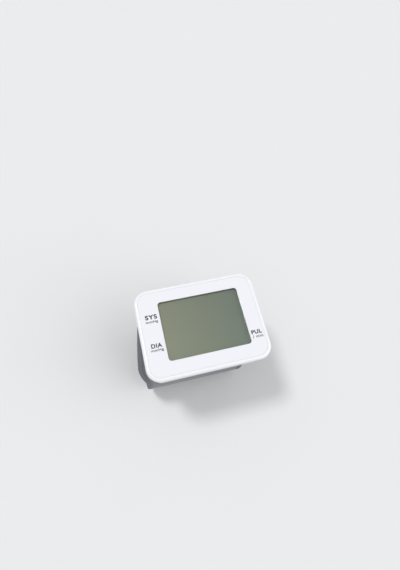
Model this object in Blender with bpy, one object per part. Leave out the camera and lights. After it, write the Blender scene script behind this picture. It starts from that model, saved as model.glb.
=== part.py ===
"""Wrist blood pressure monitor on its closed cuff.

+X is the display's right, +Y its top, +Z points out of the display. The origin is on the
flat underside of the cuff, straight below the middle of the housing. Depths are measured
down from the plane of the display's rim.
"""
import math

import bmesh
import bpy
from mathutils import Vector

MM = 0.001

# Housing and its shells; its width, height and depth follow from what it holds, further down
HOUSING_CORNER_RADIUS = 10.0 * MM
HOUSING_LAND_DEPTH = 5.4 * MM
SEAM_DEPTH = 8.0 * MM
SHELL_WALL = 1.8 * MM
FRONT_WALL = 1.6 * MM
RIM_WIDTH = 2.4 * MM
RIM_RADIUS = 2.1 * MM
RIM_INNER_CHAMFER = 0.15 * MM
REAR_STEP = 0.5 * MM
REAR_STRAIGHT = 1.0 * MM
REAR_TAPER = 2.5 * MM
REAR_EDGE_RADIUS = 3.0 * MM
CAVITY_EDGE_RADIUS = 1.2 * MM

# Clearance between pieces that touch, and how far cutters run past what they cut
GAP = 0.3 * MM
OVERRUN = 1.0 * MM

# Face panel, window and display
PANEL_SINK = 0.1 * MM
PANEL_THICKNESS = 0.8 * MM
PANEL_EDGE = 0.15 * MM
WINDOW_LEFT_MARGIN = 16.0 * MM
WINDOW_RIGHT_MARGIN = 12.8 * MM
WINDOW_TOP_MARGIN = 10.75 * MM
WINDOW_BOTTOM_MARGIN = 11.75 * MM
WINDOW_CORNER_RADIUS = 2.2 * MM
WINDOW_LAP = 1.2 * MM
WINDOW_THICKNESS = 0.7 * MM
LENS_CORNER_RADIUS = 1.0 * MM
LCD_THICKNESS = 2.0 * MM
LCD_CORNER_RADIUS = 0.6 * MM
LCD_FRAME_THICKNESS = 0.8 * MM
LCD_FRAME_WIDTH = 3.0 * MM
CONNECTOR_END_SPACE = 2.5 * MM
CONNECTOR_WIDTH = 1.8 * MM

# Main board and what is soldered to it
BOARD_THICKNESS = 1.2 * MM
BOARD_SIDE_MARGIN = 1.7 * MM
BOARD_TAB_REACH = 4.2 * MM
BOARD_TAB_MARGIN = 4.0 * MM
CHIP_SIZE = 10.0 * MM
CHIP_THICKNESS = 1.2 * MM
CHIP_X = 4.0 * MM
CHIP_Y = 6.0 * MM
BUZZER_RADIUS = 4.5 * MM
BUZZER_THICKNESS = 2.5 * MM
BUZZER_SIDE_SPACE = 13.0 * MM
BUZZER_Y = -3.0 * MM
SENSOR_SIZE = 7.0 * MM
SENSOR_THICKNESS = 3.2 * MM
SENSOR_SIDE_SPACE = 19.0 * MM
SENSOR_Y = 9.0 * MM
SENSOR_PORT_RADIUS = 1.2 * MM
SENSOR_PORT_LENGTH = 2.0 * MM

# Push buttons in the top wall, and their switches
START_BUTTON_WIDTH = 17.0 * MM
START_BUTTON_X = -3.0 * MM
MEMORY_BUTTON_WIDTH = 11.0 * MM
BUTTON_SPACE = 5.0 * MM
BUTTON_ROD_MARGIN = 0.1 * MM
BUTTON_CORNER_RADIUS = 1.6 * MM
BUTTON_EDGE = 0.5 * MM
BUTTON_FLANGE = 1.2 * MM
BUTTON_FLANGE_THICKNESS = 1.1 * MM
BUTTON_ROD_WIDTH = 3.0 * MM
BUTTON_ROD_LENGTH = 0.8 * MM
BUTTON_TRAVEL = 0.6 * MM
SWITCH_WIDTH = 6.0 * MM
SWITCH_BACK_CLEARANCE = 0.5 * MM
SWITCH_STEM_WIDTH = 2.6 * MM
SWITCH_STEM_HEIGHT = 1.0 * MM
SWITCH_STEM_LENGTH = 2.3 * MM
SWITCH_STEM_INSERT = 0.7 * MM

# Case screws
SCREW_SIDE_MARGIN = 7.0 * MM
SCREW_END_MARGIN = 6.55 * MM
SCREW_BAY_SPACE = 0.8 * MM
SCREW_SHANK_RADIUS = 1.0 * MM
SCREW_TIP_SPACE = 2.0 * MM
SCREW_HEAD_RADIUS = 2.0 * MM
SCREW_HEAD_HEIGHT = 1.5 * MM
SCREW_RECESS_DEPTH = 3.0 * MM
BOSS_RADIUS = 2.6 * MM

# Battery bay: two AAA cells side by side
CELL_RADIUS = 5.25 * MM
CELL_LENGTH = 44.5 * MM
CELL_NUB_RADIUS = 1.9 * MM
CELL_NUB_LENGTH = 0.8 * MM
CELL_EDGE = 0.5 * MM
CELL_BOARD_SPACE = 2.0 * MM
BAY_END_SPACE = 2.05 * MM
BAY_WALL = 1.2 * MM
BAY_HOUSING_SPACE = 6.65 * MM
CONTACT_THICKNESS = 0.5 * MM
CONTACT_HEIGHT = 7.0 * MM
CONTACT_WIDTH = 7.0 * MM
CONTACT_PAD_RADIUS = 1.6 * MM
DOOR_BOTTOM_MARGIN = 0.9 * MM

# Pump, valve, sensor tubes
PUMP_RADIUS = 6.2 * MM
PUMP_BAY_SPACE = 7.22 * MM
MOTOR_LENGTH = 20.0 * MM
MOTOR_BOSS_RADIUS = 2.4 * MM
MOTOR_BOSS_LENGTH = 1.0 * MM
MOTOR_EDGE = 0.8 * MM
PUMP_HEAD_LENGTH = 11.0 * MM
PUMP_BORE_RADIUS = 4.6 * MM
PUMP_BORE_DEPTH = 6.5 * MM
PUMP_PORT_RADIUS = 1.3 * MM
PUMP_PORT_LENGTH = 2.6 * MM
CRANK_SHAFT_RADIUS = 0.8 * MM
CRANK_SHAFT_LENGTH = 2.2 * MM
CRANK_DISC_RADIUS = 3.0 * MM
CRANK_DISC_THICKNESS = 1.8 * MM
CRANK_THROW = 0.8 * MM
VALVE_RADIUS = 4.4 * MM
VALVE_LENGTH = 14.0 * MM
VALVE_PORT_RADIUS = 1.2 * MM
VALVE_PORT_LENGTH = 2.4 * MM
PLUNGER_RADIUS = 1.0 * MM
PLUNGER_OUT = 1.6 * MM
PLUNGER_IN = 3.8 * MM
PLUNGER_TRAVEL = 0.8 * MM
MANIFOLD_X = -10.0 * MM
MANIFOLD_LENGTH = 11.0 * MM
MANIFOLD_WIDTH = 8.0 * MM
MANIFOLD_HEIGHT = 4.6 * MM
MANIFOLD_CORNER_RADIUS = 1.2 * MM
TUBE_RADIUS = 1.5 * MM
TUBE_LEAD = 2.1 * MM
TUBE_BEND = 3.9 * MM
NIPPLE_RADIUS = 2.2 * MM

# Cuff loop, as a chain of arcs from the middle of the top to the flat underside
LOOP_TOP_RADIUS = 34.0 * MM
LOOP_TOP_SWEEP = math.radians(30.0)
LOOP_SHOULDER_RADIUS = 17.0 * MM
LOOP_SIDE_RADIUS = 70.0 * MM
LOOP_SIDE_SWEEP = math.radians(20.0)
LOOP_BASE_RADIUS = 16.0 * MM

# Cuff layers, from the outside in
COVER_THICKNESS = 1.0 * MM
STIFFENER_THICKNESS = 1.0 * MM
BLADDER_THICKNESS = 1.8 * MM
LINING_THICKNESS = 0.9 * MM
BINDING_WIDTH = 3.0 * MM
BINDING_EDGE = 0.9 * MM

# Cuff outline: widest under the housing, narrower round the wrist, and a little askew
CUFF_PAD_HALF_WIDTH = 43.0 * MM
CUFF_BAND_HALF_WIDTH = 37.5 * MM
CUFF_PAD_REACH = 16.0 * MM
CUFF_NARROWING = 20.0 * MM
CUFF_SHIFT = -3.3 * MM
CUFF_SKEW = 4.25 * MM
CUFF_CORNER_RADIUS = 6.0 * MM
CUFF_MOUTH = 6.0 * MM
CUFF_UPPER_END = 60.0 * MM
STIFFENER_INSET = 5.0 * MM
BLADDER_INSET = 8.0 * MM
BLADDER_END_SPACE = 16.0 * MM

# Closing flap
FLAP_THICKNESS = 1.0 * MM
FLAP_HALF_WIDTH = 33.0 * MM
FLAP_END = 31.0 * MM
FLAP_CORNER_RADIUS = 9.0 * MM
FLAP_STEP_LENGTH = 4.4 * MM
FLAP_TAPE_WIDTH = 2.4 * MM
FLAP_TAPE_EXTRA = 0.2 * MM
FLAP_TAPE_EDGE = 0.4 * MM
HOOK_THICKNESS = 0.8 * MM
HOOK_HALF_WIDTH = 27.0 * MM
HOOK_CORNER_RADIUS = 3.0 * MM
HOOK_START_SPACE = 8.0 * MM
HOOK_END_SPACE = 6.0 * MM

# How finely round shapes are cut
CORNER_STEPS = 8
EDGE_STEPS = 4
ROUND_STEPS = 28
SMALL_ROUND_STEPS = 16
ROW_SPACING = 3.0 * MM
CORNER_ROWS = 6
LEVEL_STEPS = 40
SMOOTH_ANGLE = math.radians(35.0)

# Depths of the layers behind the face, each worked out from the one before it
PANEL_FLOOR = PANEL_SINK + PANEL_THICKNESS + GAP
WINDOW_BOTTOM = PANEL_FLOOR + WINDOW_THICKNESS
LCD_TOP = WINDOW_BOTTOM + GAP
LCD_BOTTOM = LCD_TOP + LCD_THICKNESS
LCD_FRAME_TOP = LCD_BOTTOM + GAP
LCD_FRAME_BOTTOM = LCD_FRAME_TOP + LCD_FRAME_THICKNESS
BOARD_TOP = LCD_FRAME_BOTTOM + GAP
BOARD_BOTTOM = BOARD_TOP + BOARD_THICKNESS
PART_TOP = BOARD_BOTTOM + GAP
FRONT_CEILING = PANEL_FLOOR + FRONT_WALL
SWITCH_DEPTH = (FRONT_CEILING + BOARD_TOP) / 2
BUTTON_TOP_DEPTH = SWITCH_DEPTH - SWITCH_STEM_HEIGHT / 2 - BUTTON_ROD_MARGIN
REAR_TOP = SEAM_DEPTH + GAP
CENTRE_FLOOR = BOARD_BOTTOM + CELL_BOARD_SPACE + 2 * CELL_RADIUS + GAP
HOUSING_CENTRE_DEPTH = CENTRE_FLOOR + SHELL_WALL
HOUSING_EDGE_DEPTH = HOUSING_CENTRE_DEPTH + HOUSING_LAND_DEPTH
EDGE_FLOOR = HOUSING_EDGE_DEPTH - SHELL_WALL
REAR_EDGE_START = HOUSING_EDGE_DEPTH - REAR_EDGE_RADIUS
SCREW_HEAD_DEPTH = HOUSING_EDGE_DEPTH - SCREW_RECESS_DEPTH
SCREW_TIP_DEPTH = FRONT_CEILING + SCREW_TIP_SPACE


def rear_inset(depth):
    """How far the rear shell's side lies inside the housing's outline at a depth."""
    start = REAR_TOP + REAR_STRAIGHT
    share = max(0.0, (depth - start) / (REAR_EDGE_START - start))
    return REAR_STEP + REAR_TAPER * share


# The housing is as tall as the cells need, and as wide as the pump line and two cells
DOOR_INSET = rear_inset(CENTRE_FLOOR) + SHELL_WALL
LOBE_INSET = REAR_STEP + REAR_TAPER + SHELL_WALL + GAP
PUMP_START_MARGIN = SCREW_SIDE_MARGIN + BOSS_RADIUS + GAP
PUMP_LENGTH = MOTOR_LENGTH + GAP + PUMP_HEAD_LENGTH + PUMP_PORT_LENGTH
PUMP_TUBE_REACH = GAP + TUBE_LEAD + TUBE_BEND + TUBE_RADIUS
BAY_HALF_LENGTH = CELL_LENGTH / 2 + BAY_END_SPACE
BAY_WIDTH = 4 * CELL_RADIUS + 3 * GAP
HOUSING_HEIGHT = 2 * (BAY_HALF_LENGTH + BAY_WALL + BAY_HOUSING_SPACE)
HOUSING_WIDTH = (PUMP_START_MARGIN + PUMP_LENGTH + PUMP_TUBE_REACH + PUMP_BAY_SPACE
                 + BAY_WALL + BAY_WIDTH + DOOR_INSET)

# Places inside the housing
WINDOW_WIDTH = HOUSING_WIDTH - WINDOW_LEFT_MARGIN - WINDOW_RIGHT_MARGIN
WINDOW_HEIGHT = HOUSING_HEIGHT - WINDOW_TOP_MARGIN - WINDOW_BOTTOM_MARGIN
WINDOW_CENTRE_X = (WINDOW_LEFT_MARGIN - WINDOW_RIGHT_MARGIN) / 2
WINDOW_CENTRE_Y = (WINDOW_BOTTOM_MARGIN - WINDOW_TOP_MARGIN) / 2
LCD_LAP = WINDOW_LAP - GAP
BOARD_HALF_HEIGHT = WINDOW_HEIGHT / 2 + WINDOW_CENTRE_Y + LCD_LAP
BOARD_HALF_WIDTH = HOUSING_WIDTH / 2 - SHELL_WALL - BOARD_SIDE_MARGIN
TOP_WALL_INSIDE = HOUSING_HEIGHT / 2 - SHELL_WALL
OUTER_CELL_X = HOUSING_WIDTH / 2 - DOOR_INSET - GAP - CELL_RADIUS
INNER_CELL_X = OUTER_CELL_X - 2 * CELL_RADIUS - GAP
BAY_LEFT = INNER_CELL_X - CELL_RADIUS - GAP
SCREW_LEFT_X = SCREW_SIDE_MARGIN - HOUSING_WIDTH / 2
SCREW_RIGHT_X = BAY_LEFT - BAY_WALL - SCREW_BAY_SPACE - BOSS_RADIUS
SCREW_Y = HOUSING_HEIGHT / 2 - SCREW_END_MARGIN
PUMP_X = PUMP_START_MARGIN - HOUSING_WIDTH / 2
PUMP_Y = LOBE_INSET + PUMP_RADIUS - HOUSING_HEIGHT / 2
VALVE_X = SCREW_LEFT_X + BOSS_RADIUS + PLUNGER_OUT
VALVE_Y = HOUSING_HEIGHT / 2 - LOBE_INSET - VALVE_RADIUS
BUZZER_X = BUZZER_SIDE_SPACE - HOUSING_WIDTH / 2
SENSOR_X = SENSOR_SIDE_SPACE - HOUSING_WIDTH / 2
MEMORY_BUTTON_X = START_BUTTON_X - (START_BUTTON_WIDTH + MEMORY_BUTTON_WIDTH) / 2 - BUTTON_SPACE


# Cuff loop: positions by arc length from the middle of the top, positive towards -Y

def loop_segments():
    """(radius, sweep) of each arc of half the loop, from the top to the flat underside."""
    shoulder_sweep = math.pi / 2 - LOOP_TOP_SWEEP - LOOP_SIDE_SWEEP / 2
    base_sweep = math.pi / 2 - LOOP_SIDE_SWEEP / 2
    return ((LOOP_TOP_RADIUS, LOOP_TOP_SWEEP), (LOOP_SHOULDER_RADIUS, shoulder_sweep),
            (LOOP_SIDE_RADIUS, LOOP_SIDE_SWEEP), (LOOP_BASE_RADIUS, base_sweep))


def walk_loop(length):
    """Distance out to the side and down, and the heading, at a length along half the loop."""
    across = 0.0
    down = 0.0
    heading = 0.0
    left = length
    for radius, sweep in loop_segments():
        turn = min(sweep, left / radius)
        across += radius * (math.sin(heading + turn) - math.sin(heading))
        down += radius * (math.cos(heading) - math.cos(heading + turn))
        heading += turn
        left -= radius * turn
        if turn < sweep:
            return across, down, heading
    return across - left, down, heading


LOOP_ARCS_LENGTH = sum(radius * sweep for radius, sweep in loop_segments())
# The flat underside closes the loop: it is as wide as the arcs leave it
LOOP_FLAT_HALF, LOOP_HEIGHT = walk_loop(LOOP_ARCS_LENGTH)[:2]
LOOP_LENGTH = 2 * (LOOP_ARCS_LENGTH + LOOP_FLAT_HALF)
FACE_Z = LOOP_HEIGHT + GAP + HOUSING_CENTRE_DEPTH


def loop_point(s, depth):
    """World (y, z) at arc length s, at a depth measured inwards from the outer surface."""
    half = LOOP_LENGTH / 2
    wrapped = (s + half) % LOOP_LENGTH - half
    side = -1.0 if wrapped >= 0.0 else 1.0
    across, down, heading = walk_loop(abs(wrapped))
    return side * (across - depth * math.sin(heading)), LOOP_HEIGHT - down - depth * math.cos(heading)


def cuff_centre(s):
    return CUFF_SHIFT - CUFF_SKEW * math.sin(2 * math.pi * s / LOOP_LENGTH)


def cuff_half_width(s):
    half = LOOP_LENGTH / 2
    from_top = abs((s + half) % LOOP_LENGTH - half)
    share = min(1.0, max(0.0, (from_top - CUFF_PAD_REACH) / CUFF_NARROWING))
    ease = share * share * (3 - 2 * share)
    return CUFF_PAD_HALF_WIDTH + (CUFF_BAND_HALF_WIDTH - CUFF_PAD_HALF_WIDTH) * ease


def cuff_edge(side, inset):
    """X of the cuff's left (-1) or right (1) edge as a function of s, drawn in square to it."""
    def edge(s):
        x = cuff_centre(s) + side * cuff_half_width(s)
        before = cuff_centre(s - GAP) + side * cuff_half_width(s - GAP)
        after = cuff_centre(s + GAP) + side * cuff_half_width(s + GAP)
        slope = (after - before) / (2 * GAP)
        return x - side * inset * math.sqrt(1.0 + slope * slope)
    return edge


def straight_edge(side, half_width):
    """X of one edge of a strip of even width that follows the cuff's centre line."""
    return lambda s: cuff_centre(s) + side * half_width


# Building blocks

def material(name, colour, roughness, metallic=0.0):
    made = bpy.data.materials.new(name)
    made.use_nodes = True
    shader = made.node_tree.nodes["Principled BSDF"]
    shader.inputs["Base Color"].default_value = (*colour, 1.0)
    shader.inputs["Roughness"].default_value = roughness
    shader.inputs["Metallic"].default_value = metallic
    return made


def piece(name, bm, origin, look):
    """A named object from a bmesh in world coordinates, with its origin where given."""
    bmesh.ops.recalc_face_normals(bm, faces=bm.faces)
    bmesh.ops.translate(bm, verts=bm.verts, vec=-Vector(origin))
    mesh = bpy.data.meshes.new(name)
    bm.to_mesh(mesh)
    bm.free()
    mesh.shade_smooth()
    mesh.set_sharp_from_angle(angle=SMOOTH_ANGLE)
    made = bpy.data.objects.new(name, mesh)
    made.location = origin
    made.data.materials.append(look)
    bpy.context.collection.objects.link(made)
    return made


def cutter(name, bm):
    made = piece(name, bm, (0.0, 0.0, 0.0), LOOKS["cutter"])
    made.hide_render = True
    made.display_type = "WIRE"
    return made


def cut(target, tool, operation="DIFFERENCE"):
    change = target.modifiers.new(tool.name, "BOOLEAN")
    change.operation = operation
    change.solver = "EXACT"
    change.object = tool


def rounded_ring(centre, half_width, half_height, radius, level):
    """Points of a rounded rectangle, as (u, v, level)."""
    points = []
    radius = min(radius, half_width, half_height)
    for corner in range(4):
        sign_u = 1 if corner in (0, 3) else -1
        sign_v = 1 if corner in (0, 1) else -1
        corner_u = centre[0] + sign_u * (half_width - radius)
        corner_v = centre[1] + sign_v * (half_height - radius)
        for step in range(CORNER_STEPS + 1):
            angle = math.pi / 2 * (corner + step / CORNER_STEPS)
            points.append((corner_u + radius * math.cos(angle),
                           corner_v + radius * math.sin(angle), level))
    return points


def round_ring(centre, radius, level, steps=ROUND_STEPS):
    """Points of a circle, as (u, v, level)."""
    return [(centre[0] + radius * math.cos(2 * math.pi * k / steps),
             centre[1] + radius * math.sin(2 * math.pi * k / steps), level)
            for k in range(steps)]


AXES = {"X": lambda u, v, level: (level, u, v),
        "Y": lambda u, v, level: (u, level, v),
        "Z": lambda u, v, level: (u, v, level)}


def add_stack(bm, rings, axis="Z", hollow=False):
    """Skin a row of like rings; the ends are capped, or joined when it is hollow."""
    rows = [[bm.verts.new(AXES[axis](*point)) for point in ring] for ring in rings]
    count = len(rows[0])
    pairs = list(zip(rows, rows[1:]))
    if hollow:
        pairs.append((rows[-1], rows[0]))
    for lower, upper in pairs:
        for k in range(count):
            after = (k + 1) % count
            bm.faces.new((lower[k], lower[after], upper[after], upper[k]))
    if not hollow:
        bm.faces.new(rows[0])
        bm.faces.new(rows[-1])


def stack(rings, axis="Z", hollow=False):
    bm = bmesh.new()
    add_stack(bm, rings, axis, hollow)
    return bm


def box_rings(low, high):
    """Two rings of a plain box, for a stack along Z."""
    outline = ((low[0], low[1]), (high[0], low[1]), (high[0], high[1]), (low[0], high[1]))
    return [[(u, v, level) for u, v in outline] for level in (low[2], high[2])]


def box(low, high):
    return stack(box_rings(low, high))


def housing_ring(inset, depth):
    """The housing's rounded outline, drawn in by an inset, at a depth below the rim."""
    return rounded_ring((0.0, 0.0), HOUSING_WIDTH / 2 - inset, HOUSING_HEIGHT / 2 - inset,
                        HOUSING_CORNER_RADIUS - inset, FACE_Z - depth)


def window_ring(outset, depth, radius=WINDOW_CORNER_RADIUS):
    """The display window's outline, grown by an outset, at a depth below the rim."""
    return rounded_ring((WINDOW_CENTRE_X, WINDOW_CENTRE_Y), WINDOW_WIDTH / 2 + outset,
                        WINDOW_HEIGHT / 2 + outset, radius, FACE_Z - depth)


def loop_prism(depth, low_x, high_x):
    """The cuff loop as a solid bar along X, its surface at a depth from the outer one."""
    count = 4 * ROUND_STEPS
    ring = [loop_point(LOOP_LENGTH * k / count, depth) for k in range(count)]
    return stack([[(y, z, x) for y, z in ring] for x in (low_x, high_x)], "X")


# Housing

def rear_outer_rings():
    rings = [housing_ring(REAR_STEP, REAR_TOP), housing_ring(REAR_STEP, REAR_TOP + REAR_STRAIGHT)]
    for step in range(EDGE_STEPS + 1):
        angle = math.pi / 2 * step / EDGE_STEPS
        rings.append(housing_ring(REAR_STEP + REAR_TAPER + REAR_EDGE_RADIUS * (1 - math.cos(angle)),
                                  REAR_EDGE_START + REAR_EDGE_RADIUS * math.sin(angle)))
    return rings


def rear_cavity_rings():
    floor_start = EDGE_FLOOR - CAVITY_EDGE_RADIUS
    rings = [housing_ring(REAR_STEP + SHELL_WALL, REAR_TOP - OVERRUN),
             housing_ring(REAR_STEP + SHELL_WALL, REAR_TOP + REAR_STRAIGHT)]
    for step in range(EDGE_STEPS + 1):
        angle = math.pi / 2 * step / EDGE_STEPS
        rings.append(housing_ring(REAR_STEP + REAR_TAPER + SHELL_WALL
                                  + CAVITY_EDGE_RADIUS * (1 - math.cos(angle)),
                                  floor_start + CAVITY_EDGE_RADIUS * math.sin(angle)))
    return rings


def screw_places():
    return [(x, y) for x in (SCREW_LEFT_X, SCREW_RIGHT_X) for y in (-SCREW_Y, SCREW_Y)]


def make_front_shell():
    rings = [housing_ring(0.0, SEAM_DEPTH)]
    for step in range(2 * EDGE_STEPS + 1):
        angle = math.pi / 2 * step / (2 * EDGE_STEPS)
        rings.append(housing_ring(RIM_RADIUS * (1 - math.cos(angle)),
                                  RIM_RADIUS * (1 - math.sin(angle))))
    rings += [housing_ring(RIM_WIDTH - RIM_INNER_CHAMFER, 0.0),
              housing_ring(RIM_WIDTH, RIM_INNER_CHAMFER),
              housing_ring(RIM_WIDTH, PANEL_FLOOR),
              window_ring(WINDOW_LAP + GAP, PANEL_FLOOR, LENS_CORNER_RADIUS + GAP),
              window_ring(WINDOW_LAP + GAP, FRONT_CEILING, LENS_CORNER_RADIUS + GAP),
              housing_ring(SHELL_WALL, FRONT_CEILING),
              housing_ring(SHELL_WALL, SEAM_DEPTH)]
    shell = piece("front_shell", stack(rings, hollow=True), (0.0, 0.0, FACE_Z), LOOKS["white"])
    posts = bmesh.new()
    pilots = bmesh.new()
    for place in screw_places():
        add_stack(posts, [round_ring(place, BOSS_RADIUS, FACE_Z - depth)
                          for depth in (SEAM_DEPTH, FRONT_CEILING - FRONT_WALL / 2)])
        add_stack(pilots, [round_ring(place, SCREW_SHANK_RADIUS + GAP, FACE_Z - depth)
                           for depth in (SEAM_DEPTH + OVERRUN, SCREW_TIP_DEPTH - GAP)])
    cut(shell, cutter("front_boss_posts", posts), "UNION")
    cut(shell, cutter("front_boss_pilots", pilots))
    notches = bmesh.new()
    for x, width in ((START_BUTTON_X, START_BUTTON_WIDTH), (MEMORY_BUTTON_X, MEMORY_BUTTON_WIDTH)):
        top = BUTTON_TOP_DEPTH - GAP
        bottom = SEAM_DEPTH + BUTTON_CORNER_RADIUS + OVERRUN
        centre = (x, FACE_Z - (top + bottom) / 2)
        add_stack(notches, [rounded_ring(centre, width / 2 + GAP, (bottom - top) / 2,
                                         BUTTON_CORNER_RADIUS, y)
                            for y in (TOP_WALL_INSIDE - OVERRUN,
                                      HOUSING_HEIGHT / 2 + OVERRUN)], "Y")
    cut(shell, cutter("button_notches", notches))


def make_rear_shell():
    shell = piece("rear_shell", stack(rear_outer_rings()), (0.0, 0.0, FACE_Z - SEAM_DEPTH),
                  LOOKS["white_matte"])
    reach = HOUSING_WIDTH / 2 + OVERRUN
    saddle = cutter("saddle_cutter", loop_prism(-GAP, -reach, reach))
    cut(shell, saddle)
    cavity = cutter("rear_cavity", stack(rear_cavity_rings()))
    cut(cavity, cutter("saddle_wall", loop_prism(-GAP - SHELL_WALL, -reach, reach)))
    low = FACE_Z - HOUSING_EDGE_DEPTH
    high = FACE_Z - REAR_TOP
    bay_end = BAY_HALF_LENGTH + BAY_WALL
    cut(cavity, cutter("bay_inner_wall", box((BAY_LEFT - BAY_WALL, -bay_end, low),
                                             (BAY_LEFT, bay_end, high))))
    ends = bmesh.new()
    for sign in (-1, 1):
        near, far = sorted((sign * BAY_HALF_LENGTH, sign * bay_end))
        add_stack(ends, box_rings((BAY_LEFT - BAY_WALL / 2, near, low),
                                  (HOUSING_WIDTH / 2, far, high)))
    cut(cavity, cutter("bay_end_walls", ends))
    posts = bmesh.new()
    holes = bmesh.new()
    for place in screw_places():
        add_stack(posts, [round_ring(place, BOSS_RADIUS, level) for level in (low, high)])
        add_stack(holes, [round_ring(place, radius, FACE_Z - depth) for radius, depth in
                          ((SCREW_SHANK_RADIUS + GAP, REAR_TOP - OVERRUN),
                           (SCREW_SHANK_RADIUS + GAP, SCREW_HEAD_DEPTH - GAP),
                           (SCREW_HEAD_RADIUS + GAP, SCREW_HEAD_DEPTH - GAP),
                           (SCREW_HEAD_RADIUS + GAP, HOUSING_EDGE_DEPTH + OVERRUN))])
    cut(cavity, cutter("rear_boss_posts", posts))
    cut(shell, cavity)
    cut(shell, cutter("screw_holes", holes))
    door_low, door_high = door_box()
    opening_low = [value - GAP for value in door_low]
    opening_high = (door_high[0] + GAP, door_high[1] + GAP, FACE_Z - REAR_TOP + OVERRUN)
    cut(shell, cutter("door_opening", box(opening_low, opening_high)))
    cut(shell, cutter("rear_nipple_hole", nipple_hole()))


def door_box():
    """The region of the rear shell's right end wall that the battery door takes."""
    low = (OUTER_CELL_X, GAP - BAY_HALF_LENGTH, FACE_Z - CENTRE_FLOOR + DOOR_BOTTOM_MARGIN)
    high = (HOUSING_WIDTH / 2 + OVERRUN, BAY_HALF_LENGTH - GAP, FACE_Z - REAR_TOP - GAP)
    return low, high


def make_battery_door():
    low, high = door_box()
    door = piece("battery_door", box(low, high), (0.0, 0.0, 0.0), LOOKS["white_matte"])
    cut(door, cutter("door_skin", stack(rear_outer_rings())), "INTERSECT")
    cut(door, cutter("door_hollow", stack(rear_cavity_rings())))


def make_face_panel():
    top = PANEL_SINK
    bottom = PANEL_SINK + PANEL_THICKNESS
    inset = RIM_WIDTH + GAP
    rings = [housing_ring(inset, bottom), housing_ring(inset, top + PANEL_EDGE),
             housing_ring(inset + PANEL_EDGE, top), window_ring(PANEL_EDGE, top),
             window_ring(0.0, top + PANEL_EDGE), window_ring(0.0, bottom)]
    piece("face_panel", stack(rings, hollow=True), (0.0, 0.0, FACE_Z - bottom), LOOKS["panel"])


def make_display_window():
    rings = [window_ring(WINDOW_LAP, depth, LENS_CORNER_RADIUS) for depth in (PANEL_FLOOR, WINDOW_BOTTOM)]
    piece("display_window", stack(rings),
          (WINDOW_CENTRE_X, WINDOW_CENTRE_Y, FACE_Z - WINDOW_BOTTOM), LOOKS["clear"])


def lcd_ring(inset, depth):
    return window_ring(LCD_LAP - inset, depth, LCD_CORNER_RADIUS)


def make_display():
    origin = (WINDOW_CENTRE_X, WINDOW_CENTRE_Y, FACE_Z - LCD_BOTTOM)
    piece("lcd_panel", stack([lcd_ring(0.0, LCD_TOP), lcd_ring(0.0, LCD_BOTTOM)]), origin, LOOKS["lcd"])
    frame = [lcd_ring(0.0, LCD_FRAME_TOP), lcd_ring(0.0, LCD_FRAME_BOTTOM),
             lcd_ring(LCD_FRAME_WIDTH, LCD_FRAME_BOTTOM), lcd_ring(LCD_FRAME_WIDTH, LCD_FRAME_TOP)]
    piece("lcd_frame", stack(frame, hollow=True), origin, LOOKS["dark"])
    edge = WINDOW_CENTRE_Y + WINDOW_HEIGHT / 2 + LCD_LAP - LCD_FRAME_WIDTH - GAP
    half = WINDOW_WIDTH / 2 + LCD_LAP - LCD_FRAME_WIDTH - CONNECTOR_END_SPACE
    low = (WINDOW_CENTRE_X - half, edge - CONNECTOR_WIDTH, FACE_Z - LCD_FRAME_BOTTOM)
    high = (WINDOW_CENTRE_X + half, edge, FACE_Z - LCD_FRAME_TOP)
    piece("lcd_connector", box(low, high), (WINDOW_CENTRE_X, edge, low[2]), LOOKS["rubber"])


# Board and its parts

def make_main_board():
    tab_left = MEMORY_BUTTON_X - SWITCH_WIDTH / 2 - BOARD_TAB_MARGIN
    tab_right = START_BUTTON_X + SWITCH_WIDTH / 2 + BOARD_TAB_MARGIN
    reach = BOARD_HALF_HEIGHT + BOARD_TAB_REACH
    outline = ((-BOARD_HALF_WIDTH, -BOARD_HALF_HEIGHT), (BOARD_HALF_WIDTH, -BOARD_HALF_HEIGHT),
               (BOARD_HALF_WIDTH, BOARD_HALF_HEIGHT), (tab_right, BOARD_HALF_HEIGHT),
               (tab_right, reach), (tab_left, reach), (tab_left, BOARD_HALF_HEIGHT),
               (-BOARD_HALF_WIDTH, BOARD_HALF_HEIGHT))
    rings = [[(x, y, FACE_Z - depth) for x, y in outline] for depth in (BOARD_BOTTOM, BOARD_TOP)]
    piece("main_board", stack(rings), (0.0, 0.0, FACE_Z - BOARD_BOTTOM), LOOKS["board"])


def make_board_parts():
    top = FACE_Z - PART_TOP
    half = CHIP_SIZE / 2
    low = (CHIP_X - half, CHIP_Y - half, top - CHIP_THICKNESS)
    high = (CHIP_X + half, CHIP_Y + half, top)
    piece("controller_chip", box(low, high), (CHIP_X, CHIP_Y, top), LOOKS["dark"])
    place = (BUZZER_X, BUZZER_Y)
    piece("buzzer", stack([round_ring(place, BUZZER_RADIUS, top - BUZZER_THICKNESS),
                           round_ring(place, BUZZER_RADIUS, top)]), (*place, top), LOOKS["dark"])
    place = (SENSOR_X, SENSOR_Y)
    half = SENSOR_SIZE / 2
    sensor = piece("pressure_sensor", box((SENSOR_X - half, SENSOR_Y - half, top - SENSOR_THICKNESS),
                                          (SENSOR_X + half, SENSOR_Y + half, top)),
                   (*place, top), LOOKS["grey"])
    port = stack([round_ring(place, SENSOR_PORT_RADIUS, top - depth, SMALL_ROUND_STEPS)
                  for depth in (SENSOR_THICKNESS / 2, SENSOR_THICKNESS + SENSOR_PORT_LENGTH)])
    cut(sensor, cutter("sensor_port", port), "UNION")


# Buttons and their switches

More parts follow.
